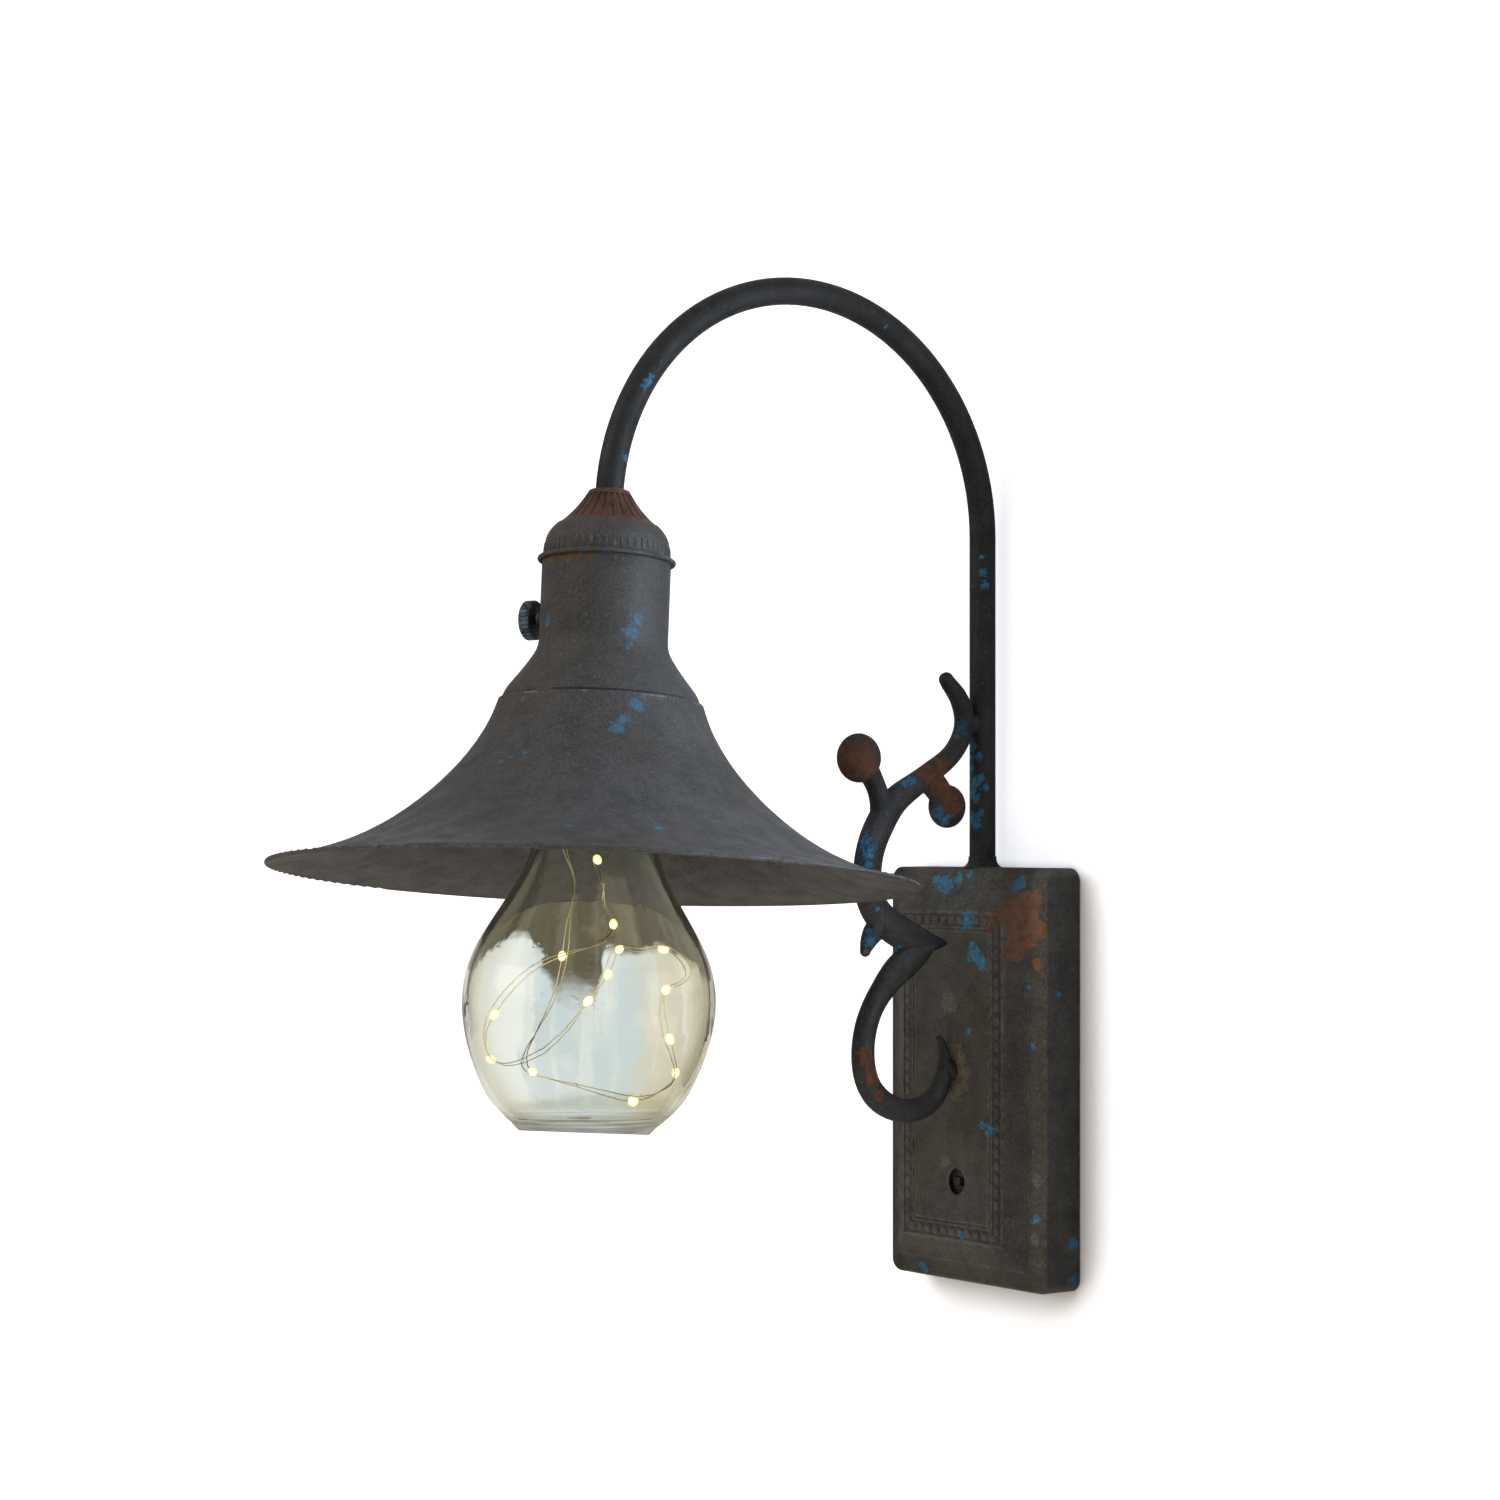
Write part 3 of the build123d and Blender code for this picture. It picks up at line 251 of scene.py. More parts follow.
class LanternSizes(bpy.types.PropertyGroup):
    """Sizes of the fine ornament and of the light string."""
    bead_pitch: measure_setting("Bead pitch", "Distance between the frame's beads", "LENGTH", 0.0059, 0.002)
    bead_height: measure_setting("Bead height", "Relief of the frame's beads", "LENGTH", 0.0010, 0.0001)
    rib_count: IntProperty(name="Cap ribs", description="Ribs round the foot of the cap", default=52, min=8)
    spatter_count: IntProperty(name="Weld spatter", description="Drops of spatter round the weld on the panel",
                               default=18, min=0)
    wire_gauge: measure_setting("Wire gauge", "Thickness of the light string", "LENGTH", 0.0005, 0.0003)
    wire_gap: measure_setting("Wire gap", "How far the string's two wires part", "LENGTH", 0.0024)


class LanternStage(bpy.types.PropertyGroup):
    """Camera and lights."""
    camera_place: FloatVectorProperty(name="Camera place", description="Where the camera stands",
                                      subtype="TRANSLATION", unit="LENGTH", default=(1.1578, -0.9855, 0.1116))
    camera_turn: FloatProperty(name="Camera turn", description="Heading of the camera", subtype="ANGLE",
                               default=math.radians(53.93))
    lens: FloatProperty(name="Lens", description="Focal length in millimetres", default=78.89, min=10)
    rise: FloatProperty(name="Rise", description="Upward shift of the frame", default=0.0541)
    key_power: measure_setting("Key power", "Power of the main lamp", "POWER", 26)
    fill_power: measure_setting("Fill power", "Power of the fill lamp", "POWER", 1.2)
    low_power: measure_setting("Low power", "Power of the warm lamp below", "POWER", 2.2)
    wall_power: measure_setting("Wall power", "Power of the lamp on the wall", "POWER", 820)
    sky: measure_setting("Sky", "Light from all round", "NONE", 0.28)
    wall_glow: measure_setting("Wall glow", "Share of the wall's white that no shadow takes", "NONE", 0.68)


# Meshes

def settings():
    """The finish, the sizes and the stage as the panel has them."""
    scene = bpy.context.scene
    return scene.lantern_finish, scene.lantern_sizes, scene.lantern_stage


def link(name, data):
    """A new object in the scene."""
    obj = bpy.data.objects.new(name, data)
    bpy.context.scene.collection.objects.link(obj)
    return obj


def link_mesh(name, mesh, material):
    """A new object in the scene from a bmesh, which it uses up."""
    data = bpy.data.meshes.new(name)
    mesh.to_mesh(data)
    mesh.free()
    data.materials.append(material)
    return link(name, data)


def piece(name, mesh, material, body="lantern", smooth=True):
    """A new piece from a bmesh, closed and facing outwards, that rides on a body."""
    bmesh.ops.remove_doubles(mesh, verts=mesh.verts, dist=1e-7)
    bmesh.ops.recalc_face_normals(mesh, faces=mesh.faces)
    obj = link_mesh(name, mesh, material)
    if smooth:
        obj.data.shade_smooth()
    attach(obj, body)
    return obj


def add_ball(mesh, place, radii, u=10, v=6):
    """A ball with three radii, put in place by a matrix."""
    scale = Matrix.Diagonal((*radii, 1))
    bmesh.ops.create_uvsphere(mesh, u_segments=u, v_segments=v, radius=1, matrix=place @ scale)


def add_bar(mesh, size, place, round_off=0.0):
    """A bar, with its edges rounded if wanted, put in place by a matrix."""
    made = bmesh.ops.create_cube(mesh, size=1, matrix=Matrix.Diagonal((*size, 1)))
    edges = list({edge for vert in made["verts"] for edge in vert.link_edges})
    verts = set(made["verts"])
    if round_off:
        result = bmesh.ops.bevel(mesh, geom=edges, offset=round_off, segments=2, profile=0.5,
                                 affect="EDGES", material=-1)
        verts = {vert for vert in verts if vert.is_valid} | set(result["verts"])
    bmesh.ops.transform(mesh, matrix=place, verts=list(verts))


def around_head(turn, radius, s, tilt):
    """A place on the head: x out from its axis, y round it, z down it, tilted outwards."""
    out = Matrix.Rotation(turn, 4, "Z") @ Matrix.Translation((radius, 0, s)) @ Matrix.Rotation(tilt, 4, "Y")
    return HEAD @ out


# Shader groups

class Tree:
    """Adds and joins nodes in one node tree."""

    def __init__(self, tree):
        self.tree = tree

    def add(self, kind, inputs=None, **fields):
        node = self.tree.nodes.new(kind)
        for field, value in fields.items():
            setattr(node, field, value)
        self.fill(node, inputs or {})
        return node

    def fill(self, node, inputs):
        for key, value in inputs.items():
            self.put(value, node.inputs[key])

    def put(self, value, socket):
        if isinstance(value, bpy.types.NodeSocket):
            self.tree.links.new(value, socket)
        else:
            socket.default_value = value

    def math(self, operation, a, b=0.0, clamp=False):
        return self.add("ShaderNodeMath", {0: a, 1: b}, operation=operation, use_clamp=clamp).outputs[0]

    def plus(self, a, b, clamp=False):
        return self.math("ADD", a, b, clamp)

    def minus(self, a, b):
        return self.math("SUBTRACT", a, b)

    def times(self, a, b, clamp=False):
        return self.math("MULTIPLY", a, b, clamp)

    def vector(self, operation, a, b, output="Value"):
        return self.add("ShaderNodeVectorMath", {0: a, 1: b}, operation=operation).outputs[output]

    def place(self):
        """Where a point is on its object."""
        return self.add("ShaderNodeTexCoord").outputs["Object"]

    def axis(self, vector, name):
        return self.add("ShaderNodeSeparateXYZ", {0: vector}).outputs[name]

    def drawn(self, vector, share):
        """Places squeezed in height, so that a noise on them runs in upright streaks."""
        return self.add("ShaderNodeMapping", {"Vector": vector, "Scale": (1, 1, share)}).outputs[0]

    def bump(self, shader, height, strength, distance):
        """Gives a shader its relief."""
        node = self.add("ShaderNodeBump", {"Strength": strength, "Distance": distance, "Height": height})
        self.put(node.outputs[0], shader.inputs["Normal"])

    def noise(self, vector, scale, detail=4.0, rough=0.55, distortion=0.0):
        node = self.add("ShaderNodeTexNoise", {"Vector": vector, "Scale": scale, "Detail": detail,
                                               "Roughness": rough, "Distortion": distortion})
        return node.outputs["Fac"]

    def ramp(self, value, low, high, to_low=0.0, to_high=1.0, kind="SMOOTHSTEP"):
        """A soft step from one value to another."""
        node = self.add("ShaderNodeMapRange", {"Value": value, "From Min": low, "From Max": high,
                                               "To Min": to_low, "To Max": to_high}, interpolation_type=kind)
        return node.outputs["Result"]

    def mix(self, share, a, b, blend="MIX"):
        """A colour with a share of a second one in it."""
        node = self.add("ShaderNodeMix", data_type="RGBA", blend_type=blend)
        self.put(share, node.inputs["Factor"])
        for name, value in (("A", a), ("B", b)):
            socket = [i for i in node.inputs if i.name == name and i.type == "RGBA"][0]
            self.put(value if isinstance(value, bpy.types.NodeSocket) else (*value[:3], 1), socket)
        return [o for o in node.outputs if o.type == "RGBA"][0]


def shader_group(name, inputs, outputs):
    """A new shader group with its sockets: its tree, what it is given, and its output node."""
    group = bpy.data.node_groups.new(name, "ShaderNodeTree")
    for way, sockets in (("INPUT", inputs), ("OUTPUT", outputs)):
        for socket, kind in sockets.items():
            group.interface.new_socket(socket, in_out=way, socket_type=kind)
    tree = Tree(group)
    return tree, tree.add("NodeGroupInput").outputs, tree.add("NodeGroupOutput")


FLOAT, COLOUR, VECTOR = "NodeSocketFloat", "NodeSocketColor", "NodeSocketVector"


def rubbed_paint_group():
    """Matte paint with a slow drift of hue, fine grain, brush drag and pale rubbed specks."""
    tree, given, result = shader_group(
        "Rubbed paint",
        {"Paint": COLOUR, "Deep": COLOUR, "Warm": COLOUR, "Scuff": COLOUR, "Mottle": FLOAT, "Rubbing": FLOAT,
         "Warmth": FLOAT},
        {"Color": COLOUR, "Roughness": FLOAT, "Height": FLOAT})
    at = tree.place()
    drift = tree.noise(at, 13, 3, 0.5)
    patch = tree.noise(at, 70, 7, 0.68)
    grain = tree.noise(at, 620, 4, 0.7)
    speck = tree.noise(at, 480, 3, 0.6)
    drag = tree.noise(tree.drawn(at, 0.1), 300, 3, 0.6)
    warm = tree.times(tree.ramp(drift, 0.38, 0.62), given["Warmth"])
    colour = tree.mix(warm, given["Paint"], given["Warm"])
    deep = tree.times(tree.ramp(patch, 0.40, 0.68), given["Mottle"])
    colour = tree.mix(deep, colour, given["Deep"])
    pits = tree.times(tree.ramp(grain, 0.46, 0.66), 0.45)
    colour = tree.mix(pits, colour, given["Deep"])
    rubbed = tree.times(tree.ramp(speck, 0.60, 0.70), tree.ramp(patch, 0.46, 0.60))
    dragged = tree.times(tree.ramp(drag, 0.58, 0.74), 0.3)
    rubbed = tree.times(tree.math("MAXIMUM", rubbed, dragged), given["Rubbing"])
    colour = tree.mix(rubbed, colour, given["Scuff"])
    rough = tree.ramp(patch, 0.3, 0.7, 0.52, 0.70)
    height = tree.plus(tree.times(patch, 0.9), tree.times(grain, 0.4))
    height = tree.plus(height, tree.times(drag, 0.12))
    tree.fill(result, {"Color": colour, "Roughness": rough, "Height": height})
    return tree.tree


def spot_reach_group():
    """Distance from a point as a share of a radius."""
    tree, given, result = shader_group(
        "Spot reach", {"Place": VECTOR, "Centre": VECTOR, "Radius": FLOAT}, {"Share": FLOAT})
    offset = tree.vector("DISTANCE", given["Place"], given["Centre"])
    tree.put(tree.math("DIVIDE", offset, given["Radius"]), result.inputs["Share"])
    return tree.tree


def ragged_edge_group():
    """A patch with a ragged edge, broken up inside, from the distance to its middle."""
    tree, given, result = shader_group(
        "Ragged edge", {"Share": FLOAT, "Grain": FLOAT, "Gaps": FLOAT, "Raggedness": FLOAT}, {"Mask": FLOAT})
    at = tree.place()
    edge = tree.noise(at, given["Grain"], 6, 0.72, 0.6)
    wander = tree.times(tree.minus(edge, 0.5), given["Raggedness"])
    rough_edge = tree.plus(given["Share"], wander)
    body = tree.ramp(rough_edge, 1.0, 0.84)
    holes = tree.ramp(tree.noise(at, tree.times(given["Grain"], 2.2), 3, 0.6), 0.44, 0.5)
    kept = tree.times(tree.minus(1.0, holes), given["Gaps"])
    tree.put(tree.times(body, tree.minus(1.0, kept), True), result.inputs["Mask"])
    return tree.tree


def loose_flecks_group():
    """Small flecks scattered thinly in clusters."""
    tree, given, result = shader_group(
        "Loose flecks", {"Spread": FLOAT, "Grain": FLOAT, "Seed": FLOAT}, {"Mask": FLOAT})
    at = tree.place()
    moved = tree.vector("ADD", at, given["Seed"], "Vector")
    fleck = tree.ramp(tree.noise(moved, given["Grain"], 3, 0.55), 0.64, 0.67)
    where = tree.noise(moved, 24, 3, 0.6)
    limit = tree.minus(0.72, tree.times(given["Spread"], 0.3))
    cluster = tree.ramp(tree.minus(where, limit), 0.0, 0.05)
    tree.put(tree.times(fleck, cluster), result.inputs["Mask"])
    return tree.tree


GROUPS = {}


def group_node(tree, build, **inputs):
    """The shader group that a function builds, made once, as a node with its own values."""
    if build not in GROUPS:
        GROUPS[build] = build()
    return tree.add("ShaderNodeGroup", inputs, node_tree=GROUPS[build])


def new_material(name):
    """A new material, its tree and its shader."""
    material = bpy.data.materials.new(name)
    material.use_nodes = True
    tree = Tree(material.node_tree)
    return material, tree, material.node_tree.nodes["Principled BSDF"]


def spot_mask(tree, spots, grain, gaps, raggedness=4.6):
    """The union of ragged spots, each x, y, z and radius in millimetres."""
    at = tree.place()
    nearest = 9.0
    for x, y, z, radius in spots:
        centre = (x / 1000, y / 1000, z / 1000)
        reach = group_node(tree, spot_reach_group, Place=at, Centre=centre, Radius=radius / 1000)
        nearest = tree.math("MINIMUM", reach.outputs[0], nearest)
    edge = group_node(tree, ragged_edge_group, Share=nearest, Grain=grain, Gaps=gaps, Raggedness=raggedness)
    return edge.outputs[0]


def patchy(tree, clouds, colour):
    """A colour that is darker where there are clouds."""
    return tree.mix(clouds, colour, [c * DARK_SHARE for c in colour])


def worn_metal(name, paint, deep, warm, chips=(), rust=(), pale=(), mottle=0.6, rubbing=0.3, warmth=0.5,
               chip_spread=0.3, rust_spread=0.2, edge_wear=0.35, relief=0.35, scuff=None, chip=None,
               rust_tone=None, metallic=0.0, sheen=0.3, last=None):
    """Painted metal that is mottled, rubbed at its edges, chipped to the blue coat and rusted at stated places.
    A last change of its colour may follow."""
    finish = settings()[0]
    material, tree, shader = new_material(name)
    scuff = (*(scuff or finish.scuff), 1)
    coat = group_node(tree, rubbed_paint_group, Paint=(*paint, 1), Deep=(*deep, 1), Warm=(*warm, 1),
                      Scuff=scuff, Mottle=mottle, Rubbing=rubbing, Warmth=warmth)
    at = tree.place()
    colour = coat.outputs["Color"]

    rounded = tree.add("ShaderNodeBevel", {"Radius": WEAR_REACH}, samples=4).outputs[0]
    flat = tree.add("ShaderNodeNewGeometry").outputs["Normal"]
    along = tree.vector("DOT_PRODUCT", rounded, flat)
    worn = tree.times(tree.ramp(along, 0.995, 0.90), tree.ramp(tree.noise(at, 210, 4, 0.65), 0.38, 0.62))
    colour = tree.mix(tree.times(worn, edge_wear), colour, scuff)

    grain = tree.ramp(tree.noise(at, 1000, 3, 0.65), 0.35, 0.65, 0.76, 1.24)
    grey = tree.add("ShaderNodeCombineColor", {0: grain, 1: grain, 2: grain}).outputs[0]
    colour = tree.mix(1.0, colour, grey, "MULTIPLY")
    speck = tree.ramp(tree.noise(at, 520, 4, 0.65), 0.665, 0.70, 0.0, 0.4)
    colour = tree.mix(speck, colour, scuff)
    if pale:
        colour = tree.mix(tree.times(spot_mask(tree, pale, grain=420.0, gaps=0.8), 0.3), colour, scuff)

    rust_mask = group_node(tree, loose_flecks_group, Spread=rust_spread, Grain=110.0, Seed=3.7).outputs[0]
    if rust:
        spots = spot_mask(tree, rust, grain=150.0, gaps=0.12, raggedness=2.6)
        rust_mask = tree.math("MAXIMUM", rust_mask, spots)
    clouds = tree.ramp(tree.noise(at, 300, 6, 0.7), 0.35, 0.65)
    colour = tree.mix(rust_mask, colour, patchy(tree, clouds, rust_tone or finish.rust))
    chip_mask = group_node(tree, loose_flecks_group, Spread=chip_spread, Grain=280.0, Seed=1.3).outputs[0]
    if chips:
        chip_mask = tree.math("MAXIMUM", chip_mask, spot_mask(tree, chips, grain=520.0, gaps=0.45))
    clouds = tree.ramp(tree.noise(at, 500, 4, 0.6), 0.4, 0.65)
    colour = tree.mix(chip_mask, colour, patchy(tree, clouds, chip or finish.undercoat))

    height = tree.minus(coat.outputs["Height"], tree.times(chip_mask, 0.5))
    crust = tree.times(tree.times(rust_mask, 0.8), tree.noise(at, 420, 5, 0.7))
    tree.bump(shader, tree.plus(height, crust), relief, PAINT_DEPTH)
    colour = last(tree, at, colour) if last else colour
    rough = tree.plus(coat.outputs["Roughness"], tree.times(rust_mask, 0.25), True)
    tree.fill(shader, {"Base Color": colour, "Roughness": rough, "Metallic": metallic,
                       "Specular IOR Level": sheen})
    return material


def box_light_and_weld_scale(tree, at, colour):
    """Painted shade on the box's left edge, right border, side and foot, with a cool painted bounce in it, a
    painted highlight on its right bevel, and the scale by its weld.
    """
    low, high = BOX_LIGHT_TONES[0][0], BOX_LIGHT_TONES[-1][0]
    # Painted light and shade: the paint darker or lighter across the box's width
    tones = tree.add("ShaderNodeValToRGB", {"Fac": tree.ramp(tree.axis(at, "X"), low, high, kind="LINEAR")})
    stops = tones.color_ramp.elements
    while len(stops) < len(BOX_LIGHT_TONES):
        stops.new(0.5)
    for stop, (x, tone) in zip(stops, BOX_LIGHT_TONES):
        cool = 1 - min(tone, 1)
        stop.position = (x - low) / (high - low)
        stop.color = (*((tone + tint * cool) / TONE_MAX for tint in COOL_SHADE_TINT), 1)
    colour = tree.mix(1.0, colour, (TONE_MAX,) * 3, "MULTIPLY")
    colour = tree.mix(1.0, colour, tones.outputs["Color"], "MULTIPLY")
    # Painted shade on the box's foot
    colour = tree.mix(tree.ramp(tree.axis(at, "Z"), *BOX_FOOT_SHADE, 0.0, 0.45), colour, (0.020, 0.018, 0.016))
    dirt = tree.times(spot_mask(tree, WELD_DIRT, grain=300.0, gaps=0.6), 0.75)
    return tree.mix(dirt, colour, (0.180, 0.155, 0.095))


def dark_hook(tree, at, colour):
    """The hook at the scroll's top, blacker than its stem."""
    return tree.mix(tree.ramp(tree.axis(at, "Z"), *HOOK_DARK_HEIGHTS, 0.0, 0.6), colour, (0.004, 0.004, 0.004))


def groove_shade(tree, at, colour):
    """Painted shade between the ferrule's flutes, where ambient occlusion finds them closed in."""
    open_sky = tree.add("ShaderNodeAmbientOcclusion", {"Distance": 0.0025}, samples=8).outputs["AO"]
    return tree.mix(tree.ramp(open_sky, 0.95, 0.72, 0.0, 0.85), colour, (0.010, 0.009, 0.008))


def seam_shadow_and_glints(tree, at, colour):
    """Painted shadow in a dark broken line where the skirt laps over the flare, and painted highlights in pale
    dashes on the lap's edge.
    """
    s = tree.vector("DOT_PRODUCT", tree.vector("SUBTRACT", at, head_origin, "Vector"), head_down)
    off_seam = tree.math("ABSOLUTE", tree.minus(s, SEAM_S))
    line = tree.ramp(off_seam, SEAM_HALF * 1.3, SEAM_HALF * 0.5)
    broken = tree.ramp(tree.noise(at, 60, 3, 0.6), 0.40, 0.46)
    colour = tree.mix(tree.times(line, broken), colour, (0.012, 0.011, 0.011))
    below = tree.math("ABSOLUTE", tree.minus(s, SEAM_S + 2 * SEAM_HALF))
    edge = tree.ramp(below, SEAM_HALF * 1.1, SEAM_HALF * 0.3)
    dashes = tree.ramp(tree.noise(at, 85, 4, 0.65), 0.52, 0.58)
    return tree.mix(tree.times(tree.times(edge, dashes), 0.55), colour, (0.22, 0.21, 0.20))


def plain_metal(name, colour, rough, streak=0.25):
    """Bare or plated metal with fine streaks and dull patches."""
    material, tree, shader = new_material(name)
    at = tree.place()
    streaks = tree.noise(tree.drawn(at, 0.1), 700, 4, 0.6)
    dull = tree.noise(at, 90, 5, 0.6)
    tone = tree.mix(tree.times(tree.ramp(dull, 0.4, 0.7), streak), colour, [c * 0.45 for c in colour])
    rough = tree.ramp(dull, 0.3, 0.7, rough - 0.08, rough + 0.18)
    tree.bump(shader, streaks, strength=0.12, distance=0.0002)
    tree.fill(shader, {"Base Color": tone, "Roughness": rough, "Metallic": 1.0})
    return material


def moulded_plastic(name, colour, rough):
    """Plastic with a fine spark-eroded grain and handling marks."""
    material, tree, shader = new_material(name)
    at = tree.place()
    grain = tree.noise(at, 1600, 2, 0.5)
    mark = tree.ramp(tree.noise(at, 110, 5, 0.65), 0.5, 0.75)
    tone = tree.mix(tree.times(mark, 0.3), colour, [min(1, c * 1.8 + 0.02) for c in colour])
    tree.bump(shader, grain, strength=0.15, distance=0.0001)
    tree.fill(shader, {"Base Color": tone, "Roughness": tree.ramp(mark, 0, 1, rough, rough + 0.15)})
    return material


def dress(material, *nodes):
    """Gives CAD nodes a finish."""
    for name in nodes:
        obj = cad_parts[name]
        if obj.material_slots:
            for slot in obj.material_slots:
                slot.material = material
        else:
            obj.data.materials.append(material)


# Operators

class LANTERN_OT_wall_box(bpy.types.Operator):
    """Paint the pressed box and set its bead frame and rails"""
    bl_idname = "lantern.wall_box"
    bl_label = "Wall box"

    def execute(self, context):
        finish, sizes, _ = settings()
        # Its pale edge wear is partly rubbing and partly a painted highlight along the box's ridges and bevels
        paint = worn_metal(
            "box_paint", finish.box_paint, deep=(0.034, 0.033, 0.032), warm=(0.082, 0.071, 0.056),
            chips=BOX_CHIPS, rust=BOX_RUST, pale=BOX_PALE, rubbing=0.25, warmth=0.7, chip_spread=0.1,
            rust_spread=0.1, edge_wear=0.8, scuff=(0.27, 0.26, 0.24), last=box_light_and_weld_scale)
        # The beads and rails get a paler copy of the box paint: partly rubbing, partly a painted highlight on the
        # frame's relief
        rubbed = worn_metal(
            "bead_paint", [c * 1.3 for c in finish.box_paint], deep=(0.040, 0.039, 0.037),
            warm=(0.120, 0.105, 0.080), chips=BOX_CHIPS, rust=BOX_RUST, rubbing=0.5, warmth=0.6,
            chip_spread=0.1, rust_spread=0.1, edge_wear=0.5, relief=0.3, last=box_light_and_weld_scale)
        dress(paint, "wall_housing")
        zinc = plain_metal("plate_zinc", (0.42, 0.42, 0.42), rough=0.42)
        dress(zinc, "back_plate", "back_plate_screws", "holder_screws")
        piece("bead_row", self.beads(sizes), rubbed)
        piece("bead_rails", self.rails(), rubbed)
        return {"FINISHED"}

    def rails(self):
        """Two thin rails round the frame, one on each side of the beads."""
        mesh = bmesh.new()
        for inset in RAIL_INSETS:
            half_w, half_h = (half - inset for half in BOX_HALF)
            for side in (-1, 1):
                upright = Matrix.Translation((side * half_w, FRAME_FACE, 0))
                add_bar(mesh, (RAIL_W, RAIL_DEPTH, 2 * half_h + RAIL_W), upright, RAIL_ROUND)
                level = Matrix.Translation((0, FRAME_FACE, side * half_h))
                add_bar(mesh, (2 * half_w + RAIL_W, RAIL_DEPTH, RAIL_W), level, RAIL_ROUND)
        return mesh

    def beads(self, sizes):
        """A row of long beads on each side of the frame."""
        mesh = bmesh.new()
        half_w, half_h = (half - BEAD_INSET for half in BOX_HALF)
        runs = [(half_w, 0, 2 * half_h), (-half_w, 0, 2 * half_h), (0, half_h, 2 * half_w),
                (0, -half_h, 2 * half_w)]
        for x, z, length in runs:
            count = round(length / sizes.bead_pitch)
            for i in range(count):
                along = length * (i / count - 0.5) + length / count / 2
                at = (x, FRAME_FACE, along) if x else (along, FRAME_FACE, z)
                radii = (BEAD_ACROSS, sizes.bead_height, BEAD_ALONG)
                add_ball(mesh, Matrix.Translation(at), radii if x else radii[::-1])
        return mesh


class LANTERN_OT_arm(bpy.types.Operator):
    """Paint the arm tube and its foot"""
    bl_idname = "lantern.arm"
    bl_label = "Arm"

    def execute(self, context):
        finish = settings()[0]
        paint = worn_metal(
            "arm_paint", finish.arm_paint, deep=(0.008, 0.008, 0.009), warm=(0.018, 0.015, 0.012),
            chips=ARM_CHIPS, mottle=0.5, rubbing=0.15, chip_spread=0.05, rust_spread=0.0, relief=0.3,
            chip=(0.023, 0.140, 0.265))
        dress(paint, "arm_tube", "arm_foot")
        return {"FINISHED"}


class LANTERN_OT_scroll(bpy.types.Operator):
    """Paint the scroll casting and its welds"""
    bl_idname = "lantern.scroll"
    bl_label = "Scroll"

    def execute(self, context):
        finish, sizes, _ = settings()
        paint = worn_metal(
            "scroll_iron", finish.scroll_paint, deep=(0.012, 0.012, 0.013), warm=(0.036, 0.030, 0.025),
            chips=SCROLL_CHIPS, rust=SCROLL_RUST, pale=SCROLL_PALE, rubbing=0.25, warmth=0.6, chip_spread=0.05,
            rust_spread=0.1, edge_wear=0.2, relief=0.55, chip=(0.026, 0.150, 0.285),
            rust_tone=(0.112, 0.044, 0.021), last=dark_hook)
        dress(paint, "scroll_bracket", "scroll_welds")
        burnt = worn_metal(
            "weld_scale", (0.085, 0.074, 0.055), deep=(0.022, 0.019, 0.016), warm=(0.150, 0.110, 0.060),
            mottle=0.5, rubbing=0.5, warmth=0.8, chip_spread=0.0, rust_spread=0.4, relief=0.4)
        spatter = bmesh.new()
        draw = random.Random(SPATTER_SEED)
        for _ in range(sizes.spatter_count):
            turn, reach = draw.uniform(0, 2 * math.pi), draw.uniform(*SPATTER_REACH)
            size = draw.uniform(*SPATTER_SIZE)
            at = (reach * math.cos(turn), PANEL_FACE, PANEL_WELD_Z + reach * math.sin(turn))
            radii = (size, 0.5 * size, size * draw.uniform(*SPATTER_STRETCH))
            add_ball(spatter, Matrix.Translation(at), radii, 8, 6)
        piece("weld_spatter", spatter, burnt)
        return {"FINISHED"}


class LANTERN_OT_shade(bpy.types.Operator):
    """Paint the shade and the ferrule, and rib the foot of the cap"""
    bl_idname = "lantern.shade"
    bl_label = "Shade"

    def execute(self, context):
        finish, sizes, _ = settings()
        paint = worn_metal(
            "shade_paint", finish.shade_paint, deep=(0.040, 0.039, 0.040), warm=(0.060, 0.052, 0.043),
            chips=SHADE_CHIPS, rust=SHADE_RUST, pale=SHADE_PALE, rubbing=0.34, warmth=0.7, chip_spread=0.12,
            rust_spread=0.0, relief=0.3, chip=(0.058, 0.150, 0.230), rust_tone=(0.135, 0.085, 0.040),
            last=seam_shadow_and_glints)
        dress(paint, "shade_cap", "shade_collar", "shade_skirt")
        rusty = worn_metal(
            "ferrule_metal", (0.085, 0.036, 0.018), deep=(0.030, 0.017, 0.011), warm=(0.120, 0.048, 0.022),
            mottle=0.7, rubbing=0.1, warmth=0.8, chip_spread=0.0, rust_spread=0.8, relief=0.6,
            last=groove_shade)
        dress(rusty, "ferrule")
        ribs = bmesh.new()
        for i in range(sizes.rib_count):
            turn = 2 * math.pi * i / sizes.rib_count
            add_ball(ribs, around_head(turn, RIB_R, RIB_S, RIB_LEAN), RIB_RADII, 8, 6)
        piece("cap_ribs", ribs, paint)
        return {"FINISHED"}


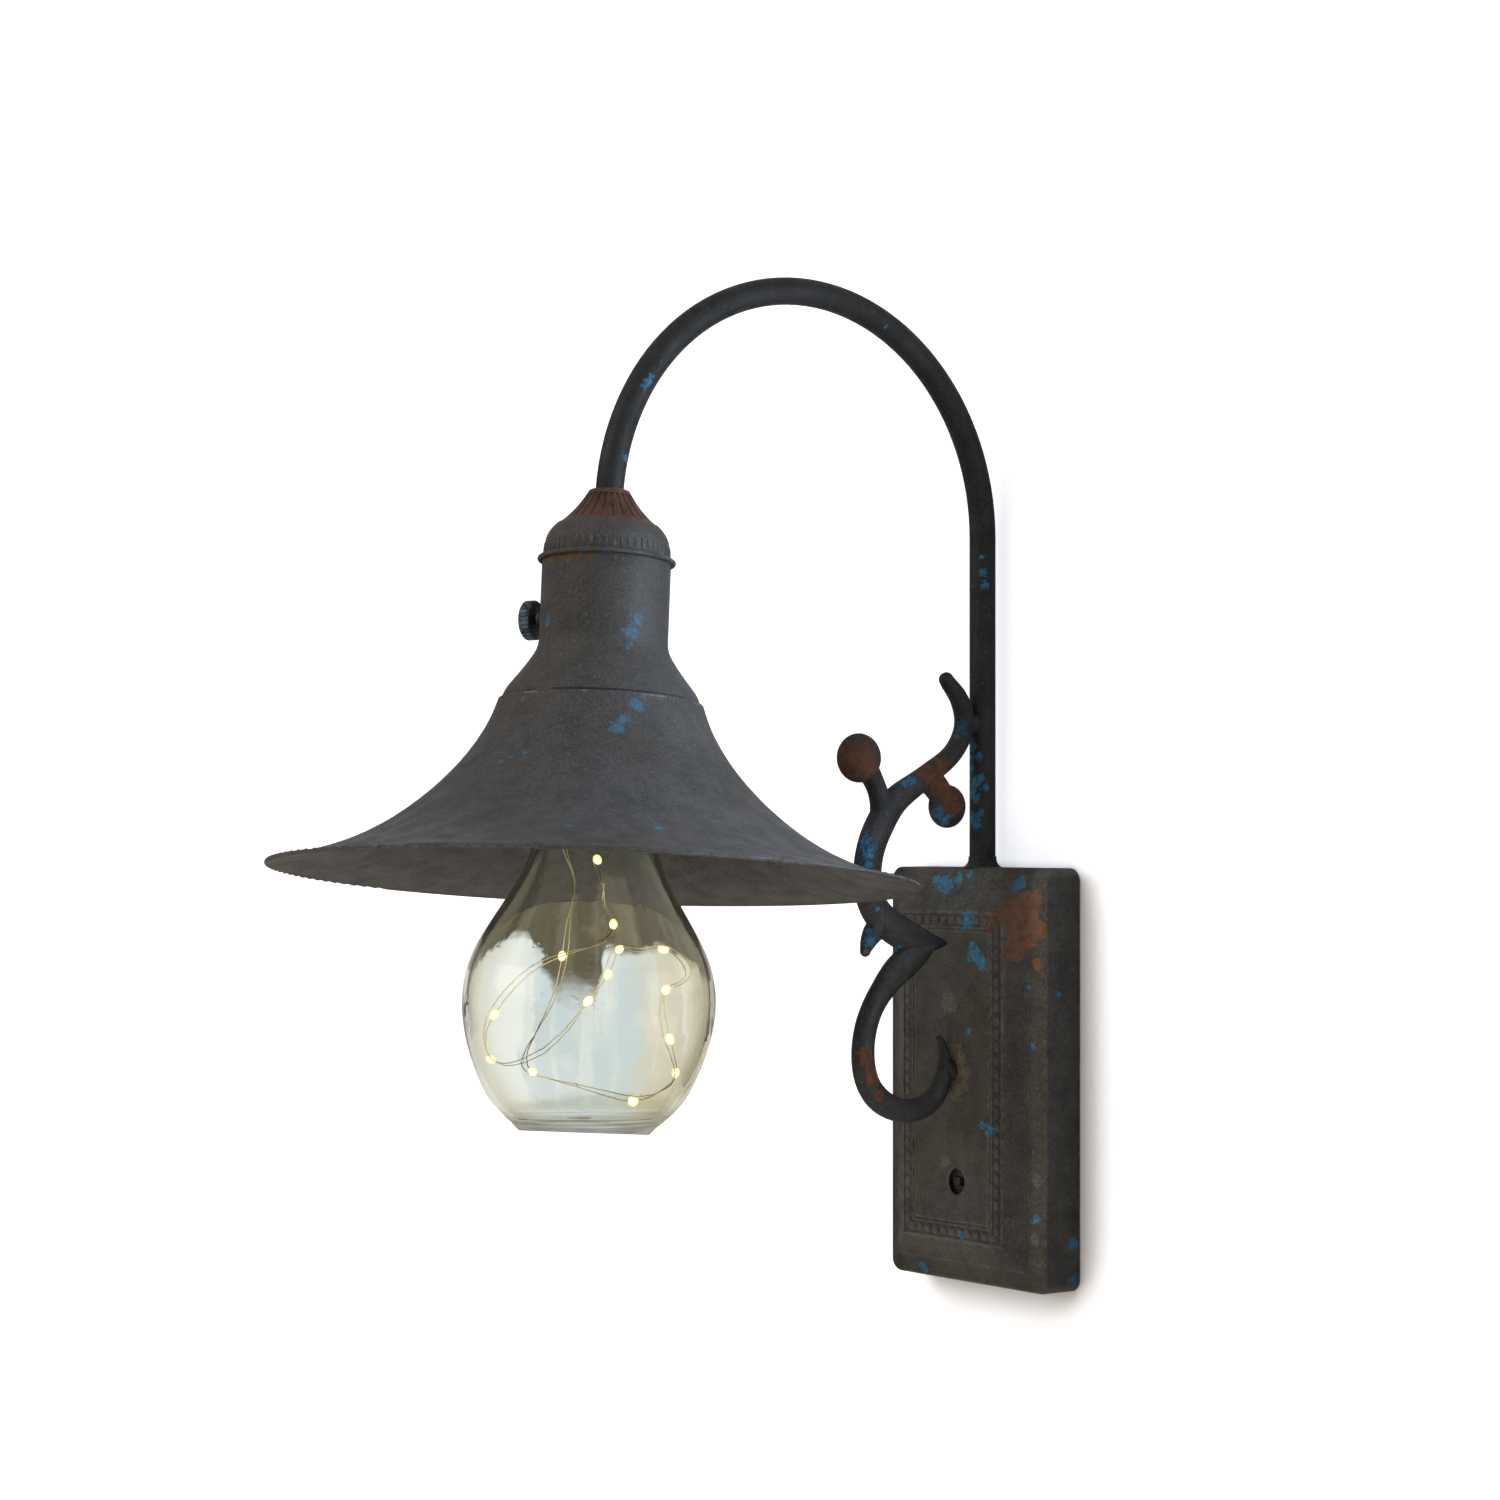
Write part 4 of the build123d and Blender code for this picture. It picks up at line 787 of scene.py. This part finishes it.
class LANTERN_OT_globe(bpy.types.Operator):
    """Make the globe clear, faintly tinted, wavy glass"""
    bl_idname = "lantern.globe"
    bl_label = "Globe"

    def execute(self, context):
        finish = settings()[0]
        material, tree, shader = new_material("globe_glass")
        at = tree.place()
        wave = tree.noise(at, 22, 2, 0.4, 0.5)
        seeds = tree.ramp(tree.noise(at, 260, 1, 0.3), 0.74, 0.8)
        up = tree.axis(at, "Z")
        foot = tree.ramp(up, *GLASS_FOOT)
        rings = tree.math("SINE", tree.times(up, FOOT_RING_RATE))
        height = tree.plus(wave, tree.times(seeds, 0.02))
        height = tree.plus(height, tree.times(tree.times(rings, foot), 0.08))
        tree.bump(shader, height, strength=0.35, distance=0.002)
        # Painted reflection: olive where the glass is seen aslant, standing in for the shade reflected in its
        # shoulders
        slant = tree.add("ShaderNodeLayerWeight", {"Blend": 0.5}).outputs["Facing"]
        tone = tree.mix(tree.ramp(slant, 0.22, 0.85), finish.glass, finish.glass_aslant_reflection)
        # Painted shade: a dark olive line round the foot's rim
        rim = tree.ramp(tree.math("ABSOLUTE", tree.minus(up, FOOT_RIM_Z)), *FOOT_RIM_FADE, 0.0, 0.5)
        tone = tree.mix(rim, tone, (0.62, 0.58, 0.42))
        rough = tree.ramp(foot, 0, 1, 0.01, 0.30)
        tree.fill(shader, {"Base Color": tone, "Roughness": rough, "IOR": 1.3, "Transmission Weight": 1.0})
        dress(material, "glass_globe")
        return {"FINISHED"}


class LANTERN_OT_light_string(bpy.types.Operator):
    """Lay the light string in the globe and hang its lights on it"""
    bl_idname = "lantern.light_string"
    bl_label = "Light string"

    def execute(self, context):
        finish, sizes, _ = settings()
        points = [HEAD @ (Vector(p) / 1000) for p in STRING_ROUTE]
        wire = plain_metal("string_wire", (0.92, 0.80, 0.52), rough=0.3, streak=0.3)
        line = self.spline("string_line", points)
        path = self.read(line)
        cord = self.tube("light_wire", line, sizes.wire_gauge, wire)
        twin_line = self.spline("twin_line", self.wound(points, sizes.wire_gap))
        twin = self.tube("light_wire_twin", twin_line, sizes.wire_gauge * TWIN_GAUGE_SHARE, wire)
        drops = bmesh.new()
        for index in LIGHT_POINTS:
            near = min(range(1, len(path) - 1), key=lambda k: (path[k] - points[index]).length)
            along = (path[near + 1] - path[near - 1]).normalized()
            turn = along.to_track_quat("Z", "Y").to_matrix().to_4x4()
            add_ball(drops, Matrix.Translation(path[near]) @ turn, LIGHT_RADII, 16, 12)
        lights = piece("light_drops", drops, self.resin(finish), body="globe")
        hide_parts("light_beads")
        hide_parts("light_string")
        for obj in (cord, twin):
            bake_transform(obj)
        return {"FINISHED"}

    def wound(self, points, gap):
        """The route of the second wire, which stands off from the first and winds round it."""
        route = []
        for i, point in enumerate(points):
            turn = TWIN_TURN * i
            away = Vector((math.cos(turn), math.sin(turn), TWIN_RISE * math.sin(TWIN_RISE_TURN * i))) * gap
            route.append(point + (away if 0 < i < len(points) - 1 else away * TWIN_END_SHARE))
        return route

    def resin(self, finish):
        """Glowing amber resin, palest where it is seen straight on."""
        material, tree, shader = new_material("bead_resin")
        clouds = tree.ramp(tree.noise(tree.place(), 400, 2, 0.5), 0.3, 0.7)
        body = tree.mix(clouds, finish.light, (1.0, 0.74, 0.34))
        facing = tree.add("ShaderNodeLayerWeight", {"Blend": 0.4}).outputs["Facing"]
        glow = tree.mix(tree.ramp(facing, 0.03, 0.38), (1.0, 0.92, 0.68), body)
        tree.fill(shader, {"Base Color": body, "Emission Color": glow, "Emission Strength": finish.light_glow,
                           "Roughness": 0.15})
        return material

    def spline(self, name, points):
        """A smooth open line with the route's points as its control points."""
        data = bpy.data.curves.new(name, "CURVE")
        data.dimensions = "3D"
        data.resolution_u = 8
        spline = data.splines.new("NURBS")
        spline.points.add(len(points) - 1)
        for point, place in zip(spline.points, points):
            point.co = (*place, 1)
        spline.order_u = 3
        spline.use_endpoint_u = True
        return bpy.data.objects.new(name, data)

    def read(self, line):
        """Points along the line."""
        mesh = bpy.data.meshes.new_from_object(line)
        path = [v.co.copy() for v in mesh.vertices]
        bpy.data.meshes.remove(mesh)
        return path

    def tube(self, name, line, gauge, material):
        """A round wire along the line, as a mesh."""
        line.data.bevel_depth = gauge / 2
        line.data.bevel_resolution = 1
        line.data.use_fill_caps = True
        mesh = bpy.data.meshes.new_from_object(line)
        mesh.name = name
        mesh.materials.clear()
        mesh.materials.append(material)
        mesh.shade_smooth()
        bpy.data.objects.remove(line)
        return link(name, mesh)


class LANTERN_OT_hardware(bpy.types.Operator):
    """Finish the thumbscrew, the nipple and the battery works"""
    bl_idname = "lantern.hardware"
    bl_label = "Hardware"

    def execute(self, context):
        # The knob's pale blue scuff is partly rubbing and partly a painted highlight on its rim
        knob = worn_metal(
            "knob_plate", (0.045, 0.064, 0.084), deep=(0.012, 0.014, 0.017), warm=(0.060, 0.040, 0.030),
            mottle=0.5, rubbing=0.9, warmth=0.3, chip_spread=0.5, rust_spread=0.1, relief=0.15, edge_wear=0.9,
            scuff=(0.30, 0.39, 0.48), metallic=0.5, sheen=0.5)
        dress(knob, "thumbscrew", "clamp_nut")
        zinc = plain_metal("zinc_steel", (0.45, 0.45, 0.46), rough=0.4)
        dress(zinc, "nipple_washer", "contact_plates", "contact_springs")
        brass = plain_metal("brass_part", (0.52, 0.38, 0.16), rough=0.35)
        dress(brass, "nipple", "nipple_nut", "switch_terminals")
        for name, colour, rough, nodes in (
            ("holder_plastic", (0.020, 0.020, 0.021), 0.5, ("battery_holder", "battery_lid", "switch_body")),
            ("slider_plastic", (0.045, 0.045, 0.048), 0.35, ("switch_slider",)),
            ("lead_sleeve", (0.012, 0.012, 0.012), 0.55, ("lead_wire", "lead_splice")),
            ("nylon", (0.62, 0.60, 0.54), 0.45, ("clamp_tip",)),
            ("cell_wrap", (0.05, 0.06, 0.07), 0.3, ("battery_cells",)),
            ("resistor_body", (0.38, 0.27, 0.14), 0.4, ("series_resistor",)),
        ):
            dress(moulded_plastic(name, colour, rough), *nodes)
        recess = plain_metal("recess_shadow", (0.03, 0.03, 0.03), rough=0.6)
        # Painted shade: thin dark sheets on the screw heads stand in for their cross recesses
        crosses = bmesh.new()
        for node in ("back_plate_screws", "holder_screws"):
            low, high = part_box(node)
            columns = {round(low.x + SCREW_HEAD_R, 5), round(high.x - SCREW_HEAD_R, 5)}
            rows = {round(low.z + SCREW_HEAD_R, 5), round(high.z - SCREW_HEAD_R, 5)}
            for x in sorted(columns):
                for z in sorted(rows):
                    for turn in CROSS_TURNS:
                        place = Matrix.Translation((x, high.y, z)) @ Matrix.Rotation(math.radians(turn), 4, "Y")
                        add_bar(crosses, CROSS_ARM, place)
        piece("screw_recess_shade", crosses, recess, smooth=False)
        return {"FINISHED"}


class LANTERN_OT_stage(bpy.types.Operator):
    """Set the wall, the floor, the lamps and the camera"""
    bl_idname = "lantern.stage"
    bl_label = "Stage"

    def execute(self, context):
        stage = settings()[2]
        scene = context.scene
        scene.view_settings.view_transform = "Standard"
        white = self.backdrop()
        for name, matrix in (
            ("stage_wall", Matrix.Translation((0, WALL_Y, 0)) @ Matrix.Rotation(math.radians(90), 4, "X")),
            ("stage_floor", Matrix.Translation(FLOOR_PLACE)),
        ):
            mesh = bmesh.new()
            bmesh.ops.create_grid(mesh, x_segments=1, y_segments=1, size=STAGE_HALF, matrix=matrix)
            link_mesh(name, mesh, white)
        self.lamp("key_lamp", (-0.5, -2.0, 1.4), size=2.4, power=stage.key_power, colour=(1.0, 0.97, 0.92))
        self.lamp("fill_lamp", (1.6, -1.3, 0.5), size=1.4, power=stage.fill_power, colour=(1.0, 1.0, 1.0))
        self.lamp("low_lamp", (0.15, -0.75, -0.65), size=0.7, power=stage.low_power, colour=(1.0, 0.84, 0.64))
        self.wall_lamp(stage.wall_power)
        world = bpy.data.worlds.new("studio")
        world.use_nodes = True
        tree = Tree(world.node_tree)
        rays = tree.add("ShaderNodeLightPath").outputs["Is Camera Ray"]
        strength = tree.ramp(rays, 0, 1, stage.sky, 1.0)
        tree.fill(world.node_tree.nodes["Background"], {"Color": (1, 1, 1, 1), "Strength": strength})
        scene.world = world
        data = bpy.data.cameras.new("camera")
        data.lens = stage.lens
        data.sensor_width = 36
        data.shift_y = stage.rise
        data.clip_end = 50
        scene.camera = link("camera", data)
        scene.camera.location = stage.camera_place
        scene.camera.rotation_euler = (math.radians(90), 0, stage.camera_turn)
        return {"FINISHED"}

    def lamp(self, name, place, size, power, colour):
        """A large soft lamp on the lantern."""
        data = bpy.data.lights.new(name, "AREA")
        data.size = size
        data.energy = power
        data.color = colour
        self.stand(data, place, LAMP_AIM)

    def wall_lamp(self, power):
        """A cool lamp on the bare wall right of the box, which the wall throws back on the shade."""
        data = bpy.data.lights.new("wall_lamp", "SPOT")
        data.energy = power
        data.color = (0.70, 0.85, 1.0)
        data.spot_size = math.radians(24)
        data.spot_blend = 0.5
        data.shadow_soft_size = 0.1
        self.stand(data, place=(0.55, -1.3, 0.9), aim=(0.5, 0, 0.2))

    def stand(self, data, place, aim):
        """Puts a lamp in its place and aims it."""
        obj = link(data.name, data)
        obj.location = place
        obj.rotation_euler = (Vector(aim) - Vector(place)).to_track_quat("-Z", "Y").to_euler()

    def backdrop(self):
        """White for the camera with a soft shadow, partly from the lamps and partly painted beside the box,
        painted surroundings through the glass, and clear from behind.
        """
        stage = settings()[2]
        material, tree, shader = new_material("stage_white")
        path = tree.add("ShaderNodeLightPath")
        at = tree.place()
        rise = tree.axis(at, "Z")
        through = path.outputs["Is Transmission Ray"]
        own = tree.math("MAXIMUM", path.outputs["Is Camera Ray"], through)
        bounce = tree.mix(tree.ramp(rise, -0.7, -0.6), (0.86, 0.78, 0.68), (0.84, 0.86, 0.90))
        seen = tree.mix(through, (0.93, 0.93, 0.93), (0, 0, 0))
        # Painted shadow: the wall's glow fades where the box stands close, by ambient occlusion
        nook = {"Distance": 0.032, "Normal": (-0.75, -0.66, 0)}
        open_sky = tree.add("ShaderNodeAmbientOcclusion", nook, samples=8).outputs["AO"]
        painted_shadow = tree.times(tree.ramp(open_sky, 1.0, 0.62), tree.ramp(rise, 0.100, 0.088))
        white = (stage.wall_glow, stage.wall_glow * 1.03, stage.wall_glow * 1.10)
        glow = tree.mix(painted_shadow, white, (0.0, 0.005, 0.02))
        glow = tree.mix(through, glow, self.room(tree, at))
        tree.fill(shader, {"Base Color": tree.mix(own, bounce, seen), "Emission Color": glow,
                           "Emission Strength": own, "Roughness": 1, "Specular IOR Level": 0})
        clear = tree.add("ShaderNodeBsdfTransparent")
        behind = tree.add("ShaderNodeNewGeometry").outputs["Backfacing"]
        across = tree.math("ABSOLUTE", tree.axis(at, "X"))
        opening = tree.times(tree.math("LESS_THAN", across, WALL_OPENING[0]),
                             tree.math("LESS_THAN", tree.math("ABSOLUTE", rise), WALL_OPENING[1]))
        share = tree.math("MAXIMUM", behind, opening)
        mix = tree.add("ShaderNodeMixShader", {0: share, 1: shader.outputs[0], 2: clear.outputs[0]})
        tree.fill(material.node_tree.nodes["Material Output"], {"Surface": mix.outputs[0]})
        return material

    def room(self, tree, at):
        """Painted surroundings for the glass: light bands with upright streaks, and a painted dark reflection of
        the shade's underside above an uneven line.
        """
        sway = tree.times(tree.minus(tree.noise(at, 18, 1, 0.5), 0.5), 0.07)
        side = tree.plus(tree.axis(at, "X"), sway)
        cream, blue, white = ROOM_BANDS
        tint = tree.mix(tree.ramp(side, -0.31, -0.27), blue, cream)
        tint = tree.mix(tree.ramp(side, -0.40, -0.44), tint, white)
        drawn = tree.drawn(at, 0.12)
        streak = tree.times(tree.ramp(tree.noise(drawn, 42, 2, 0.5), 0.50, 0.68), 0.55)
        tint = tree.mix(streak, tint, ROOM_STREAK)
        lobe = tree.ramp(tree.math("ABSOLUTE", tree.plus(side, 0.362)), 0.042, 0.022, 0.0, 0.026)
        notch = tree.ramp(side, -0.395, -0.42, 0.0, -0.012)
        height = tree.plus(tree.plus(tree.axis(at, "Z"), tree.plus(lobe, notch)), tree.times(sway, 0.4))
        clouds = tree.ramp(tree.noise(drawn, 60, 3, 0.6), 0.42, 0.62)
        return tree.mix(tree.ramp(height, 0.046, 0.056), tint, tree.mix(clouds, *ROOM_SHADE_REFLECTION))


class LANTERN_PT_panel(bpy.types.Panel):
    """Lists the lantern's settings and pieces"""
    bl_idname = "LANTERN_PT_panel"
    bl_label = "Wall lantern"
    bl_space_type = "VIEW_3D"
    bl_region_type = "UI"
    bl_category = "Lantern"

    def draw(self, context):
        for owner in settings():
            box = self.layout.box()
            for name in owner.bl_rna.properties.keys():
                if name not in ("rna_type", "name"):
                    box.prop(owner, name)
        for operator in OPERATORS:
            self.layout.operator(operator.bl_idname)


OPERATORS = (
    LANTERN_OT_stage,
    LANTERN_OT_light_string,
    LANTERN_OT_globe,
    LANTERN_OT_wall_box,
    LANTERN_OT_arm,
    LANTERN_OT_scroll,
    LANTERN_OT_shade,
    LANTERN_OT_hardware,
)
GROUPS_OF_SETTINGS = {
    "lantern_finish": LanternFinish,
    "lantern_sizes": LanternSizes,
    "lantern_stage": LanternStage,
}


def register():
    for name, group in GROUPS_OF_SETTINGS.items():
        bpy.utils.register_class(group)
        setattr(bpy.types.Scene, name, PointerProperty(type=group))
    for cls in (*OPERATORS, LANTERN_PT_panel):
        bpy.utils.register_class(cls)


def unregister():
    for cls in reversed((*OPERATORS, LANTERN_PT_panel)):
        bpy.utils.unregister_class(cls)
    for name, group in GROUPS_OF_SETTINGS.items():
        delattr(bpy.types.Scene, name)
        bpy.utils.unregister_class(group)


def main():
    register()
    bpy.ops.lantern.stage()
    bpy.ops.lantern.light_string()
    bpy.ops.lantern.globe()
    bpy.ops.lantern.wall_box()
    bpy.ops.lantern.arm()
    bpy.ops.lantern.scroll()
    bpy.ops.lantern.shade()
    bpy.ops.lantern.hardware()


if __name__ == "__main__":
    main()
